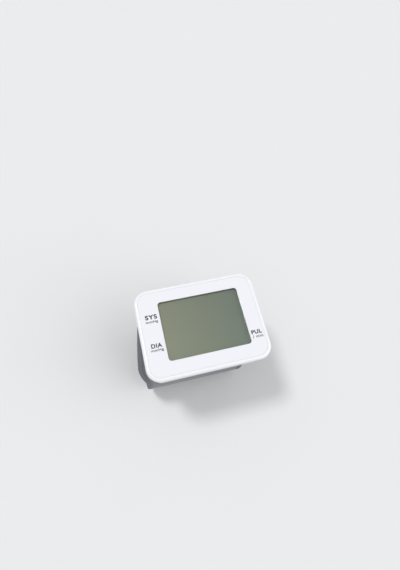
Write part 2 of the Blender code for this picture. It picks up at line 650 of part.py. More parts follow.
def make_button(name, x, width):
    """A push button with a flange inside the wall and a rod towards its switch."""
    top = BUTTON_TOP_DEPTH
    bottom = SEAM_DEPTH
    centre = (x, FACE_Z - (top + bottom) / 2)
    half_width = width / 2
    flange_half = half_width + BUTTON_FLANGE
    half_height = (bottom - top) / 2
    flange_out = TOP_WALL_INSIDE - GAP
    flange_in = flange_out - BUTTON_FLANGE_THICKNESS
    rod_end = flange_in - BUTTON_ROD_LENGTH
    proud = HOUSING_HEIGHT / 2 + BUTTON_TRAVEL + GAP
    rod_centre = (x, FACE_Z - SWITCH_DEPTH)
    rod_half = SWITCH_STEM_HEIGHT / 2
    rings = [rounded_ring(rod_centre, BUTTON_ROD_WIDTH / 2, rod_half, rod_half / 2, rod_end),
             rounded_ring(rod_centre, BUTTON_ROD_WIDTH / 2, rod_half, rod_half / 2, flange_in),
             rounded_ring(centre, flange_half, half_height, BUTTON_CORNER_RADIUS, flange_in),
             rounded_ring(centre, flange_half, half_height, BUTTON_CORNER_RADIUS, flange_out),
             rounded_ring(centre, half_width, half_height, BUTTON_CORNER_RADIUS, flange_out)]
    for step in range(EDGE_STEPS + 1):
        angle = math.pi / 2 * step / EDGE_STEPS
        inset = BUTTON_EDGE * (1 - math.cos(angle))
        rings.append(rounded_ring(centre, half_width - inset, half_height - inset,
                                  BUTTON_CORNER_RADIUS - inset,
                                  proud - BUTTON_EDGE * (1 - math.sin(angle))))
    piece(name, stack(rings, "Y"), (x, HOUSING_HEIGHT / 2, centre[1]), LOOKS["button"])


def make_switch(name, x):
    """A side-pushed switch on the board's tab, with its stem in a pocket as deep as it moves."""
    stem_outer = TOP_WALL_INSIDE - GAP - BUTTON_FLANGE_THICKNESS - BUTTON_ROD_LENGTH - GAP
    stem_inner = stem_outer - SWITCH_STEM_LENGTH
    front = stem_inner + SWITCH_STEM_INSERT
    back = BOARD_HALF_HEIGHT + SWITCH_BACK_CLEARANCE
    level = FACE_Z - SWITCH_DEPTH
    low = (x - SWITCH_WIDTH / 2, back, FACE_Z - BOARD_TOP + GAP)
    high = (x + SWITCH_WIDTH / 2, front, FACE_Z - FRONT_CEILING - GAP)
    body = piece(name + "_switch", box(low, high), (x, front, level), LOOKS["dark"])
    half_width = SWITCH_STEM_WIDTH / 2
    half_height = SWITCH_STEM_HEIGHT / 2
    pocket = box((x - half_width - GAP, stem_inner - BUTTON_TRAVEL - GAP, level - half_height - GAP),
                 (x + half_width + GAP, front + OVERRUN, level + half_height + GAP))
    cut(body, cutter(name + "_switch_pocket", pocket))
    piece(name + "_switch_stem", box((x - half_width, stem_inner, level - half_height),
                                     (x + half_width, stem_outer, level + half_height)),
          (x, stem_outer, level), LOOKS["grey"])


# Fasteners and batteries

def make_case_screws():
    for number, place in enumerate(screw_places(), start=1):
        head = FACE_Z - SCREW_HEAD_DEPTH
        rings = [round_ring(place, radius, level, SMALL_ROUND_STEPS) for radius, level in
                 ((SCREW_SHANK_RADIUS, FACE_Z - SCREW_TIP_DEPTH), (SCREW_SHANK_RADIUS, head),
                  (SCREW_HEAD_RADIUS, head), (SCREW_HEAD_RADIUS, head - SCREW_HEAD_HEIGHT))]
        piece("case_screw_%d" % number, stack(rings), (*place, head), LOOKS["steel"])


def cell_level():
    return FACE_Z - (CENTRE_FLOOR - GAP - CELL_RADIUS)


def make_cell(name, x, sign):
    """A cell lying along Y, with its nub at the end that the sign points to."""
    place = (x, cell_level())
    half = CELL_LENGTH / 2
    shoulder = half - CELL_NUB_LENGTH
    rings = [round_ring(place, radius, sign * y) for radius, y in
             ((CELL_RADIUS - CELL_EDGE, -half), (CELL_RADIUS, -half + CELL_EDGE),
              (CELL_RADIUS, shoulder - CELL_EDGE), (CELL_RADIUS - CELL_EDGE, shoulder),
              (CELL_NUB_RADIUS, shoulder), (CELL_NUB_RADIUS, half))]
    piece(name, stack(rings, "Y"), (x, 0.0, cell_level()), LOOKS["cell"])


def contact(name, pads, sign):
    """A sprung contact plate at an end of the bay, with a raised pad for each cell."""
    wall = sign * (BAY_HALF_LENGTH - GAP)
    plate = sign * (BAY_HALF_LENGTH - GAP - CONTACT_THICKNESS)
    tip = sign * (CELL_LENGTH / 2 + GAP)
    near, far = sorted((wall, plate))
    level = cell_level()
    low = (pads[0] - CONTACT_WIDTH / 2, near, level - CONTACT_HEIGHT / 2)
    high = (pads[-1] + CONTACT_WIDTH / 2, far, level + CONTACT_HEIGHT / 2)
    made = piece(name, box(low, high), ((low[0] + high[0]) / 2, wall, level), LOOKS["steel"])
    domes = bmesh.new()
    for x in pads:
        add_stack(domes, [round_ring((x, level), radius, y, SMALL_ROUND_STEPS) for radius, y in
                          ((CONTACT_PAD_RADIUS, (wall + plate) / 2),
                           (CONTACT_PAD_RADIUS, (plate + tip) / 2), (CONTACT_PAD_RADIUS / 2, tip))], "Y")
    cut(made, cutter(name + "_pads", domes), "UNION")


def make_battery_parts():
    make_cell("battery_inner", INNER_CELL_X, 1)
    make_cell("battery_outer", OUTER_CELL_X, -1)
    contact("battery_bridge_contact", (INNER_CELL_X, OUTER_CELL_X), 1)
    contact("battery_minus_contact", (INNER_CELL_X,), -1)
    contact("battery_plus_contact", (OUTER_CELL_X,), -1)


# Pump, valve and air line

def saddle_level(y, clear):
    """The least height at which a point at y is clear of the cuff loop by a distance."""
    near = 0.0
    far = LOOP_ARCS_LENGTH / 2
    for _ in range(LEVEL_STEPS):
        middle = (near + far) / 2
        if abs(loop_point(middle, -clear)[0]) < abs(y):
            near = middle
        else:
            far = middle
    return loop_point(near, -clear)[1]


def lobe_level(y, radius):
    """Height of the axis of a round piece that lies in a lobe of the rear shell."""
    on_floor = FACE_Z - (EDGE_FLOOR - GAP - radius)
    return max(on_floor, saddle_level(y, GAP + SHELL_WALL + GAP + radius))


def make_pump():
    level = lobe_level(PUMP_Y, PUMP_RADIUS)
    place = (PUMP_Y, level)
    motor_end = PUMP_X + MOTOR_LENGTH
    boss = motor_end + MOTOR_BOSS_LENGTH
    rings = [round_ring(place, radius, x) for radius, x in
             ((PUMP_RADIUS - MOTOR_EDGE, PUMP_X), (PUMP_RADIUS, PUMP_X + MOTOR_EDGE),
              (PUMP_RADIUS, motor_end), (MOTOR_BOSS_RADIUS, motor_end), (MOTOR_BOSS_RADIUS, boss))]
    piece("pump_motor", stack(rings, "X"), (motor_end, *place), LOOKS["steel"])
    head = motor_end + GAP
    head_end = head + PUMP_HEAD_LENGTH
    rings = [round_ring(place, radius, x) for radius, x in
             ((PUMP_BORE_RADIUS, head + PUMP_BORE_DEPTH), (PUMP_BORE_RADIUS, head),
              (PUMP_RADIUS, head), (PUMP_RADIUS, head_end),
              (PUMP_PORT_RADIUS, head_end), (PUMP_PORT_RADIUS, head_end + PUMP_PORT_LENGTH))]
    piece("pump_head", stack(rings, "X"), (head, *place), LOOKS["dark"])
    start = boss + GAP
    disc = start + CRANK_SHAFT_LENGTH
    throw = (PUMP_Y, level + CRANK_THROW)
    rings = [round_ring(place, CRANK_SHAFT_RADIUS, start), round_ring(place, CRANK_SHAFT_RADIUS, disc),
             round_ring(throw, CRANK_DISC_RADIUS, disc),
             round_ring(throw, CRANK_DISC_RADIUS, disc + CRANK_DISC_THICKNESS)]
    piece("pump_crank", stack(rings, "X"), (start, *place), LOOKS["steel"])
    return (head_end + PUMP_PORT_LENGTH, *place)


def make_valve():
    place = (VALVE_Y, lobe_level(VALVE_Y, VALVE_RADIUS))
    end = VALVE_X + VALVE_LENGTH
    port_end = end + VALVE_PORT_LENGTH
    bore = PLUNGER_RADIUS + GAP
    bore_end = VALVE_X + PLUNGER_IN + PLUNGER_TRAVEL + GAP
    rings = [round_ring(place, radius, x) for radius, x in
             ((bore, bore_end), (bore, VALVE_X), (VALVE_RADIUS, VALVE_X), (VALVE_RADIUS, end),
              (VALVE_PORT_RADIUS, end), (VALVE_PORT_RADIUS, port_end))]
    piece("exhaust_valve", stack(rings, "X"), (VALVE_X, *place), LOOKS["steel"])
    rings = [round_ring(place, PLUNGER_RADIUS, x, SMALL_ROUND_STEPS)
             for x in (VALVE_X - PLUNGER_OUT, VALVE_X + PLUNGER_IN)]
    piece("valve_plunger", stack(rings, "X"), (VALVE_X, *place), LOOKS["grey"])
    return (port_end, *place)


def make_manifold():
    top = FACE_Z - (CENTRE_FLOOR - GAP - MANIFOLD_HEIGHT)
    rings = [rounded_ring((MANIFOLD_X, 0.0), MANIFOLD_LENGTH / 2, MANIFOLD_WIDTH / 2,
                          MANIFOLD_CORNER_RADIUS, level) for level in (top, top - MANIFOLD_HEIGHT)]
    piece("air_manifold", stack(rings), (MANIFOLD_X, 0.0, top), LOOKS["grey"])
    return top - MANIFOLD_HEIGHT / 2


def smooth_route(points, steps):
    """Points along a smooth curve through hand-chosen ones."""
    ends = [points[0] * 2 - points[1]] + points + [points[-1] * 2 - points[-2]]
    route = []
    for a, b, c, d in zip(ends, ends[1:], ends[2:], ends[3:]):
        for step in range(steps):
            t = step / steps
            route.append((b * 2 + (c - a) * t + (a * 2 - b * 5 + c * 4 - d) * t * t
                          + (b * 3 - a - c * 3 + d) * t * t * t) / 2)
    return route + [points[-1]]


def make_tube(name, points):
    curve = bpy.data.curves.new(name, "CURVE")
    curve.dimensions = "3D"
    curve.bevel_depth = TUBE_RADIUS
    curve.bevel_resolution = 2
    curve.use_fill_caps = True
    spline = curve.splines.new("POLY")
    route = smooth_route([Vector(point) for point in points], EDGE_STEPS + 1)
    spline.points.add(len(route) - 1)
    for target, point in zip(spline.points, route):
        target.co = (*point, 1.0)
    made = bpy.data.objects.new(name, curve)
    made.data.materials.append(LOOKS["tube"])
    bpy.context.collection.objects.link(made)


def make_air_line():
    pump_port = make_pump()
    valve_port = make_valve()
    level = make_manifold()
    lead = TUBE_LEAD
    bend = TUBE_BEND
    right = MANIFOLD_X + MANIFOLD_LENGTH / 2 + GAP
    left = MANIFOLD_X - MANIFOLD_LENGTH / 2 - GAP
    side = MANIFOLD_WIDTH / 2 + GAP
    x, y, z = pump_port
    make_tube("pump_tube", ((x + GAP, y, z), (x + GAP + lead, y, z),
                            (x + GAP + lead + bend, y + bend, z),
                            (right + lead + bend, -bend, level),
                            (right + lead, 0.0, level), (right, 0.0, level)))
    x, y, z = valve_port
    make_tube("valve_tube", ((x + GAP, y, z), (x + GAP + lead, y, z),
                             (MANIFOLD_X, y - bend, (z + level) / 2),
                             (MANIFOLD_X, side + lead, level), (MANIFOLD_X, side, level)))
    port = FACE_Z - PART_TOP - SENSOR_THICKNESS - SENSOR_PORT_LENGTH - GAP
    make_tube("sensor_tube", ((SENSOR_X, SENSOR_Y, port), (SENSOR_X, SENSOR_Y, port - lead),
                              (SENSOR_X + bend / 2, SENSOR_Y / 2, level),
                              (left - lead, 0.0, level), (left, 0.0, level)))


def nipple_ends():
    """Heights of the cuff nipple's ends: just under the manifold, and at the bladder."""
    inner = COVER_THICKNESS + GAP + STIFFENER_THICKNESS
    return LOOP_HEIGHT - inner, FACE_Z - CENTRE_FLOOR


def nipple_hole():
    low, high = nipple_ends()
    return stack([round_ring((MANIFOLD_X, 0.0), NIPPLE_RADIUS + GAP, level)
                  for level in (low - GAP, high + OVERRUN)])


def make_nipple():
    low, high = nipple_ends()
    rings = [round_ring((MANIFOLD_X, 0.0), NIPPLE_RADIUS, level) for level in (low, high)]
    piece("cuff_nipple", stack(rings), (MANIFOLD_X, 0.0, high), LOOKS["grey"])


# Cuff

def band_rows(start, end, corner):
    """Arc lengths of the cross rows between two ends, close together in round corners."""
    rows = []
    for step in range(CORNER_ROWS + 1):
        rows.append(start + corner * (1 - math.cos(math.pi / 2 * step / CORNER_ROWS)))
    count = max(1, round((end - start - 2 * corner) / ROW_SPACING))
    for step in range(1, count):
        rows.append(start + corner + (end - start - 2 * corner) * step / count)
    for step in range(CORNER_ROWS, -1, -1):
        rows.append(end - corner * (1 - math.cos(math.pi / 2 * step / CORNER_ROWS)))
    return rows


def band_bounds(s, start, end, corner, edges):
    """Left and right edge of a band at s, drawn in at its round corners."""
    near = corner - min(corner, s - start, end - s)
    drawn_in = corner - math.sqrt(max(0.0, corner * corner - near * near))
    left, right = edges
    return left(s) + drawn_in, right(s) - drawn_in


def band_sheet(name, start, end, corner, edges, outer, inner, look, square_start=False):
    """A sheet that follows the loop; outer and inner give its faces' depths at s."""
    bm = bmesh.new()
    rows = band_rows(start, end, corner)
    if square_start:
        rows = [s for s in rows if s == start or s >= start + corner * (1 - math.cos(math.pi / 4))]
    corners = []
    for s in rows:
        first = start - corner if square_start else start
        left, right = band_bounds(s, first, end, corner, edges)
        row = []
        for x, depth in ((left, outer(s)), (right, outer(s)), (right, inner(s)), (left, inner(s))):
            y, z = loop_point(s, depth)
            row.append(bm.verts.new((x, y, z)))
        corners.append(row)
    for row, after in zip(corners, corners[1:]):
        for k in range(4):
            bm.faces.new((row[k], row[(k + 1) % 4], after[(k + 1) % 4], after[k]))
    bm.faces.new(corners[0])
    bm.faces.new(corners[-1])
    y, z = loop_point((start + end) / 2, 0.0)
    return piece(name, bm, (CUFF_SHIFT, y, z), look)


def tape_profile(width, edge, outer, inner):
    """Cross-section of an edge tape, as (distance in from the edge, depth)."""
    return ((width, outer), (edge, outer), (0.0, outer + edge), (0.0, inner - edge),
            (edge, inner), (width, inner))


def edge_tape(name, path, closed, profile, look):
    """A tape swept along a path of (s, x) points; profile(s) gives its cross-section."""
    bm = bmesh.new()
    count = len(path)
    sections = []
    for k, (s, x) in enumerate(path):
        before = path[k - 1] if closed or k > 0 else path[k]
        after = path[(k + 1) % count] if closed or k < count - 1 else path[k]
        along = Vector((after[0] - before[0], after[1] - before[1])).normalized()
        inward = Vector((along.y, -along.x))
        section = []
        for distance, depth in profile(s):
            place_s = s + inward.x * distance
            y, z = loop_point(place_s, depth)
            section.append(bm.verts.new((x + inward.y * distance, y, z)))
        sections.append(section)
    pairs = list(zip(sections, sections[1:]))
    if closed:
        pairs.append((sections[-1], sections[0]))
    for section, after in pairs:
        for k in range(len(section)):
            follow = (k + 1) % len(section)
            bm.faces.new((section[k], section[follow], after[follow], after[k]))
    if not closed:
        bm.faces.new(sections[0])
        bm.faces.new(sections[-1])
    return piece(name, bm, (CUFF_SHIFT, 0.0, LOOP_HEIGHT / 2), look)


def constant(value):
    return lambda s: value


def cuff_ends():
    """Arc lengths of the cuff's two ends: the upper one, and the lower one past the mouth."""
    return -CUFF_UPPER_END, LOOP_LENGTH - CUFF_UPPER_END - CUFF_MOUTH


def cuff_layer(name, inset, end_inset, top, thickness, look):
    start, end = cuff_ends()
    corner = max(CUFF_CORNER_RADIUS - inset, BINDING_EDGE)
    edges = (cuff_edge(-1, inset), cuff_edge(1, inset))
    return band_sheet(name, start + end_inset, end - end_inset, corner, edges,
                      constant(top), constant(top + thickness), look)


def make_cuff():
    inset = BINDING_WIDTH + GAP
    stiffener_top = COVER_THICKNESS + GAP
    bladder_top = stiffener_top + STIFFENER_THICKNESS + GAP
    lining_top = bladder_top + BLADDER_THICKNESS + GAP
    wall = lining_top + LINING_THICKNESS
    hole = cutter("cuff_nipple_hole", nipple_hole())
    cut(cuff_layer("cuff_cover", inset, inset, 0.0, COVER_THICKNESS, LOOKS["cuff"]), hole)
    cut(cuff_layer("cuff_stiffener", STIFFENER_INSET, STIFFENER_INSET, stiffener_top,
                   STIFFENER_THICKNESS, LOOKS["grey"]), hole)
    cuff_layer("air_bladder", BLADDER_INSET, BLADDER_END_SPACE, bladder_top, BLADDER_THICKNESS,
               LOOKS["rubber"])
    cuff_layer("cuff_lining", inset, inset, lining_top, LINING_THICKNESS, LOOKS["lining"])
    start, end = cuff_ends()
    rows = band_rows(start, end, CUFF_CORNER_RADIUS)
    edges = (cuff_edge(-1, 0.0), cuff_edge(1, 0.0))
    bounds = [band_bounds(s, start, end, CUFF_CORNER_RADIUS, edges) for s in rows]
    path = [(s, right) for s, (left, right) in zip(rows, bounds)]
    path += [(s, left) for s, (left, right) in reversed(list(zip(rows, bounds)))]
    edge_tape("cuff_binding", path, True,
              constant(tape_profile(BINDING_WIDTH, BINDING_EDGE, GAP, wall)), LOOKS["binding"])
    make_nipple()


def flap_ends():
    return cuff_ends()[1] + GAP, LOOP_LENGTH - FLAP_END


def flap_inner(s):
    """Depth of the flap's inner face: level with the cover, then out over the cuff's end."""
    start = flap_ends()[0]
    share = min(1.0, max(0.0, (s - start) / FLAP_STEP_LENGTH))
    ease = share * share * (3 - 2 * share)
    lap = -(GAP + HOOK_THICKNESS + GAP)
    return FLAP_THICKNESS + (lap - FLAP_THICKNESS) * ease


def flap_outer(s):
    return flap_inner(s) - FLAP_THICKNESS


def make_flap():
    start, end = flap_ends()
    y, z = loop_point(start, 0.0)
    hinge = bpy.data.objects.new("flap_hinge", None)
    hinge.location = (CUFF_SHIFT, y, z)
    bpy.context.collection.objects.link(hinge)
    inset = FLAP_TAPE_WIDTH + GAP
    corner = FLAP_CORNER_RADIUS - inset
    edges = (straight_edge(-1, FLAP_HALF_WIDTH - inset), straight_edge(1, FLAP_HALF_WIDTH - inset))
    pieces = [band_sheet("cuff_flap", start, end - inset, corner, edges,
                         flap_outer, flap_inner, LOOKS["cuff"], True)]
    rows = [s for s in band_rows(start, end, FLAP_CORNER_RADIUS)
            if s == start or s >= start + FLAP_STEP_LENGTH / 4]
    edges = (straight_edge(-1, FLAP_HALF_WIDTH), straight_edge(1, FLAP_HALF_WIDTH))
    bounds = [band_bounds(s, start - FLAP_CORNER_RADIUS, end, FLAP_CORNER_RADIUS, edges)
              for s in rows]
    path = [(s, right) for s, (left, right) in zip(rows, bounds)]
    path += [(s, left) for s, (left, right) in reversed(list(zip(rows, bounds)))]
    pieces.append(edge_tape("flap_binding", path, False,
                            lambda s: tape_profile(FLAP_TAPE_WIDTH, FLAP_TAPE_EDGE,
                                                   flap_outer(s) - FLAP_TAPE_EXTRA, flap_inner(s)),
                            LOOKS["binding"]))
    hook_outer = -(GAP + HOOK_THICKNESS)
    edges = (straight_edge(-1, HOOK_HALF_WIDTH), straight_edge(1, HOOK_HALF_WIDTH))
    pieces.append(band_sheet("flap_hook_patch", start + HOOK_START_SPACE, end - HOOK_END_SPACE,
                             HOOK_CORNER_RADIUS, edges,
                             constant(hook_outer), constant(-GAP), LOOKS["hook"]))
    for made in pieces:
        made.parent = hinge
        made.location = made.location - hinge.location


def clear_scene():
    for old in list(bpy.data.objects):
        bpy.data.objects.remove(old)


clear_scene()

LOOKS = {
    "white": material("white_gloss_plastic", (0.87, 0.87, 0.90), 0.22),
    "white_matte": material("white_matte_plastic", (0.80, 0.80, 0.83), 0.45),
    "panel": material("printed_panel", (0.88, 0.88, 0.93), 0.15),
    "clear": material("clear_window", (0.70, 0.74, 0.68), 0.05),
    "lcd": material("display_glass", (0.22, 0.25, 0.19), 0.20),
    "dark": material("black_plastic", (0.03, 0.03, 0.03), 0.50),
    "grey": material("grey_plastic", (0.40, 0.40, 0.42), 0.50),
    "rubber": material("soft_rubber", (0.09, 0.09, 0.10), 0.80),
    "board": material("circuit_board", (0.02, 0.16, 0.07), 0.40),
    "button": material("button_plastic", (0.20, 0.27, 0.36), 0.35),
    "steel": material("plated_steel", (0.60, 0.60, 0.60), 0.30, 1.0),
    "cell": material("battery_jacket", (0.10, 0.11, 0.13), 0.35, 0.3),
    "tube": material("silicone_tube", (0.72, 0.72, 0.70), 0.40),
    "cuff": material("cuff_cloth", (0.17, 0.16, 0.19), 0.95),
    "lining": material("lining_cloth", (0.10, 0.10, 0.12), 0.90),
    "binding": material("edge_tape", (0.08, 0.08, 0.10), 0.90),
    "hook": material("hook_tape", (0.05, 0.05, 0.06), 0.95),
    "cutter": material("cutter_guide", (0.90, 0.30, 0.10), 0.50),
}

make_front_shell()
make_face_panel()
make_display_window()
make_display()
make_main_board()
make_board_parts()
make_button("start_button", START_BUTTON_X, START_BUTTON_WIDTH)
make_button("memory_button", MEMORY_BUTTON_X, MEMORY_BUTTON_WIDTH)
make_switch("start", START_BUTTON_X)
make_switch("memory", MEMORY_BUTTON_X)
make_rear_shell()
make_battery_door()
make_case_screws()
make_battery_parts()
make_air_line()
make_cuff()
make_flap()
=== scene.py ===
"""Looks of the wrist blood pressure monitor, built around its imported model."""
import math

import bmesh
import bpy
from bpy.props import FloatProperty, FloatVectorProperty, IntProperty, PointerProperty
from mathutils import Matrix, Vector, noise


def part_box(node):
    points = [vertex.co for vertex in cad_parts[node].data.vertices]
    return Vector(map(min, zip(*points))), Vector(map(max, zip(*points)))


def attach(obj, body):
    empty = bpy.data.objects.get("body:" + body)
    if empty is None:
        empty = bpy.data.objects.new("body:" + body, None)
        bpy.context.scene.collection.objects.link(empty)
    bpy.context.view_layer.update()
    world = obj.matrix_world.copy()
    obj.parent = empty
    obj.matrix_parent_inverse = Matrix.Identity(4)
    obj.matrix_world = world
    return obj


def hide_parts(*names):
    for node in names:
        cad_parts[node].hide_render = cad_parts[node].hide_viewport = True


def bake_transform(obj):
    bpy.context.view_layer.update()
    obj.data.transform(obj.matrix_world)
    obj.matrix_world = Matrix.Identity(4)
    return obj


bl_info = {
    "name": "Wrist pressure monitor looks",
    "version": (1, 0, 0),
    "blender": (4, 5, 0),
    "location": "View3D > Sidebar > Monitor",
    "description": "Models and finishes a wrist blood pressure monitor piece by piece",
    "category": "Mesh",
}

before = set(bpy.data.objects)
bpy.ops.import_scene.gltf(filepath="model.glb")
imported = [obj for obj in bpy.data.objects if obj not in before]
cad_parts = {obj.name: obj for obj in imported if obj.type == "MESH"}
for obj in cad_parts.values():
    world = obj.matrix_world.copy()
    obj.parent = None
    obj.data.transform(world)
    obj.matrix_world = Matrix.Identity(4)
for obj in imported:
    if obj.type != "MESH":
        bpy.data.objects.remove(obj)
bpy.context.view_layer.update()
FRONT_LOW, FRONT_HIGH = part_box("front_shell")
REAR_LOW, REAR_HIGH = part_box("rear_shell")
PANEL_LOW, PANEL_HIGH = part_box("face_panel")
LENS_LOW, LENS_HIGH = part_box("display_window")
LCD_LOW, LCD_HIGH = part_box("lcd_panel")
DOOR_LOW, DOOR_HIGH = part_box("battery_door")

MM = 0.001
AXES = "XYZ"
FACE_Z = FRONT_HIGH.z
# Edges sharper than these are rounded, kept crisp, and kept crisp on a folded tape
SHARP_ANGLE = math.radians(38.0)
CREASE_ANGLE = math.radians(32.0)
FOLD_ANGLE = math.radians(50.0)
# Cosine above which a direction counts as an axis's own
SQUARE = 0.99
BUTTONS = ("start_button", "memory_button")
SCREWS = ("case_screw_1", "case_screw_2", "case_screw_3", "case_screw_4")
INNER_LOOKS = (
    ("lcd_frame buzzer controller_chip start_switch memory_switch pump_head", "black_plastic"),
    ("start_switch_stem memory_switch_stem pressure_sensor valve_plunger air_manifold cuff_nipple "
     "cuff_stiffener", "grey_plastic"),
    ("pump_motor pump_crank exhaust_valve battery_bridge_contact battery_minus_contact "
     "battery_plus_contact", "plated_steel"),
    ("pump_tube valve_tube sensor_tube", "silicone_tube"),
    ("lcd_connector", "soft_rubber"),
    ("main_board", "circuit_board"),
)
# Each label's name, title and unit, each with its left, bottom, right and top on the face in mm
LABELS = (
    ("label_upper", "SYS", (-37.05, 10.35, -28.8, 13.6), "mmHg", (-37.1, 7.15, -28.8, 9.5)),
    ("label_lower", "DIA", (-36.6, -9.75, -29.4, -6.75), "mmHg", (-37.1, -12.75, -28.8, -10.35)),
    ("label_pulse", "PUL", (31.6, -14.8, 38.95, -11.9), "/ min", (31.8, -17.5, 39.1, -15.5)),
)
GROUPS = {}
LOOKS = {}


def size(name, value, text):
    """A length property, in metres."""
    return FloatProperty(name=name, description=text, default=value, unit="LENGTH", precision=6)


def colour(name, value, text):
    """A colour property, as linear red, green and blue."""
    return FloatVectorProperty(name=name, description=text, default=value, subtype="COLOR",
                               size=3, min=0.0, max=1.0)


def share(name, value, text):
    """A plain number, such as a roughness or a strength."""
    return FloatProperty(name=name, description=text, default=value, precision=4)


class HousingSizes(bpy.types.PropertyGroup):
    """Sizes of the two shells, the panel and the window."""
    corner_radius: size("Corner radius", 10.0 * MM, "Round of the housing's four corners")
    rim_radius: size("Rim radius", 2.1 * MM, "Round of the rim's outer edge")
    rim_width: size("Rim width", 2.4 * MM, "Width of the rim round the face panel")
    rim_edge: size("Rim edge", 0.10 * MM, "Small round of the rim's inner edge")
    panel_floor: size("Panel floor", 1.2 * MM, "Depth of the recess that holds the panel")
    front_ceiling: size("Front ceiling", 2.8 * MM, "Depth of the front wall's inner face")
    wall: size("Wall", 1.8 * MM, "Wall thickness of the shells")
    gap: size("Gap", 0.3 * MM, "Clearance between pieces that touch")
    window_corner: size("Window corner", 2.2 * MM, "Round of the panel's window")
    lens_corner: size("Lens corner", 1.0 * MM, "Round of the clear lens's corners")
    panel_edge: size("Panel edge", 0.05 * MM, "Small round along the panel's edges")
    notch_corner: size("Notch corner", 1.6 * MM, "Round of the button openings")
    rear_step: size("Rear step", 0.5 * MM, "How far the rear shell stands inside the front one")
    rear_straight: size("Rear straight", 1.0 * MM, "Straight band below the seam")
    rear_taper: size("Rear taper", 2.5 * MM, "How far the rear shell draws in towards the back")
    rear_radius: size("Rear radius", 2.2 * MM, "Round of the back edge")
    front_lean: size("Front lean", 1.0 * MM, "How far the user's side leans in at the seam")
    back_lean: size("Back lean", 0.3 * MM, "How far the user's side leans in at the back edge")
    panel_reach: size("Panel reach", 0.22 * MM, "How much closer to the rim the panel comes")
    window_lap: size("Window lap", 1.2 * MM, "How far the lens reaches behind the panel")
    polariser: size("Polariser", 0.15 * MM, "Thickness of the film on the display")
    flange: size("Button flange", 1.2 * MM, "How far a button's flange reaches past its sides")
    post_radius: size("Post radius", 2.6 * MM, "Radius of the screw posts")
    shank_radius: size("Shank radius", 1.0 * MM, "Radius of the screws' shanks")
    head_radius: size("Head radius", 2.0 * MM, "Radius of the screws' heads")
    screw_head: size("Screw head", 1.5 * MM, "Height of the screws' heads")
    cell_radius: size("Cell radius", 5.25 * MM, "Radius of the two cells")
    bay_wall: size("Bay wall", 1.2 * MM, "Thickness of the battery bay's walls")


class PrintSizes(bpy.types.PropertyGroup):
    """Weight and spacing of the printed labels."""
    thickness: size("Ink thickness", 0.02 * MM, "How far the print stands off the panel")
    title_boldness: share("Title boldness", 0.022, "How much bolder the reading names are")
    tracking: share("Tracking", 1.12, "Spacing of the letters")
    stroke_gain: size("Stroke gain", 0.08 * MM, "How much broader the strokes are than the type's")


class CuffSizes(bpy.types.PropertyGroup):
    """Sizes of the cuff's loop, cloth, tape and stitches."""
    top_radius: size("Top radius", 34.0 * MM, "Arc of the loop under the housing")
    top_sweep: share("Top sweep", math.radians(30.0), "Angle of half that arc, in radians")
    shoulder_radius: size("Shoulder radius", 17.0 * MM, "Arc beside the housing")
    side_radius: size("Side radius", 70.0 * MM, "Arc of the flattish sides")
    side_sweep: share("Side sweep", math.radians(20.0), "Angle of that arc, in radians")
    base_radius: size("Base radius", 16.0 * MM, "Arc down to the flat underside")
    wall: size("Wall", 5.6 * MM, "Thickness of all the cuff's layers together")
    pad_half_width: size("Pad half width", 43.0 * MM, "Half the width under the housing")
    band_half_width: size("Band half width", 37.5 * MM, "Half the width round the wrist")
    pad_reach: size("Pad reach", 16.0 * MM, "How far the wide part reaches from the top")
    narrowing: size("Narrowing", 20.0 * MM, "Length over which the cuff narrows")
    shift: size("Shift", -3.3 * MM, "How far the cuff sits to the left")
    skew: size("Skew", 4.25 * MM, "How far the loop winds askew")
    corner_radius: size("Corner radius", 6.0 * MM, "Round of the cuff's corners")
    mouth: size("Mouth", 6.0 * MM, "Gap between the cuff's two ends")
    upper_end: size("Upper end", 60.0 * MM, "Length from the top to the upper end")
    tape_width: size("Tape width", 3.2 * MM, "Width of the edge tape's leaves")
    tape_thickness: size("Tape thickness", 0.45 * MM, "Thickness of the edge tape")
    stitch_length: size("Stitch length", 2.1 * MM, "Length of one stitch")
    stitch_pitch: size("Stitch pitch", 2.9 * MM, "Distance from stitch to stitch")
    stitch_width: size("Stitch width", 0.32 * MM, "Thickness of the thread")
    tape_tuck: size("Tape tuck", 1.2 * MM, "How far inside the tape's fold the cloth ends")
    cover_thickness: size("Cover thickness", 0.9 * MM, "Thickness of the outer cloth")
    lining_share: share("Lining share", 0.85, "Lining's length as a share of the outer cloth's")
    lining_thickness: size("Lining thickness", 0.5 * MM, "Thickness of the lining")
    bladder_inset: size("Bladder inset", 8.0 * MM, "Distance of the bladder from the cuff's edge")
    row_spacing: size("Row spacing", 0.9 * MM, "Distance between the cloth's cross rows")
    columns: IntProperty(name="Columns", description="Points across the cloth", default=66)
    flap_gap: size("Flap gap", 0.3 * MM, "Clearance between the cuff's end and the flap")
    flap_half_width: size("Flap half width", 33.0 * MM, "Half the width of the closing flap")
    flap_end: size("Flap end", 31.0 * MM, "Length from the top to the flap's end")
    flap_corner: size("Flap corner", 9.0 * MM, "Round of the flap's corners")
    flap_step: size("Flap step", 4.4 * MM, "Length over which the flap rises over the cuff")


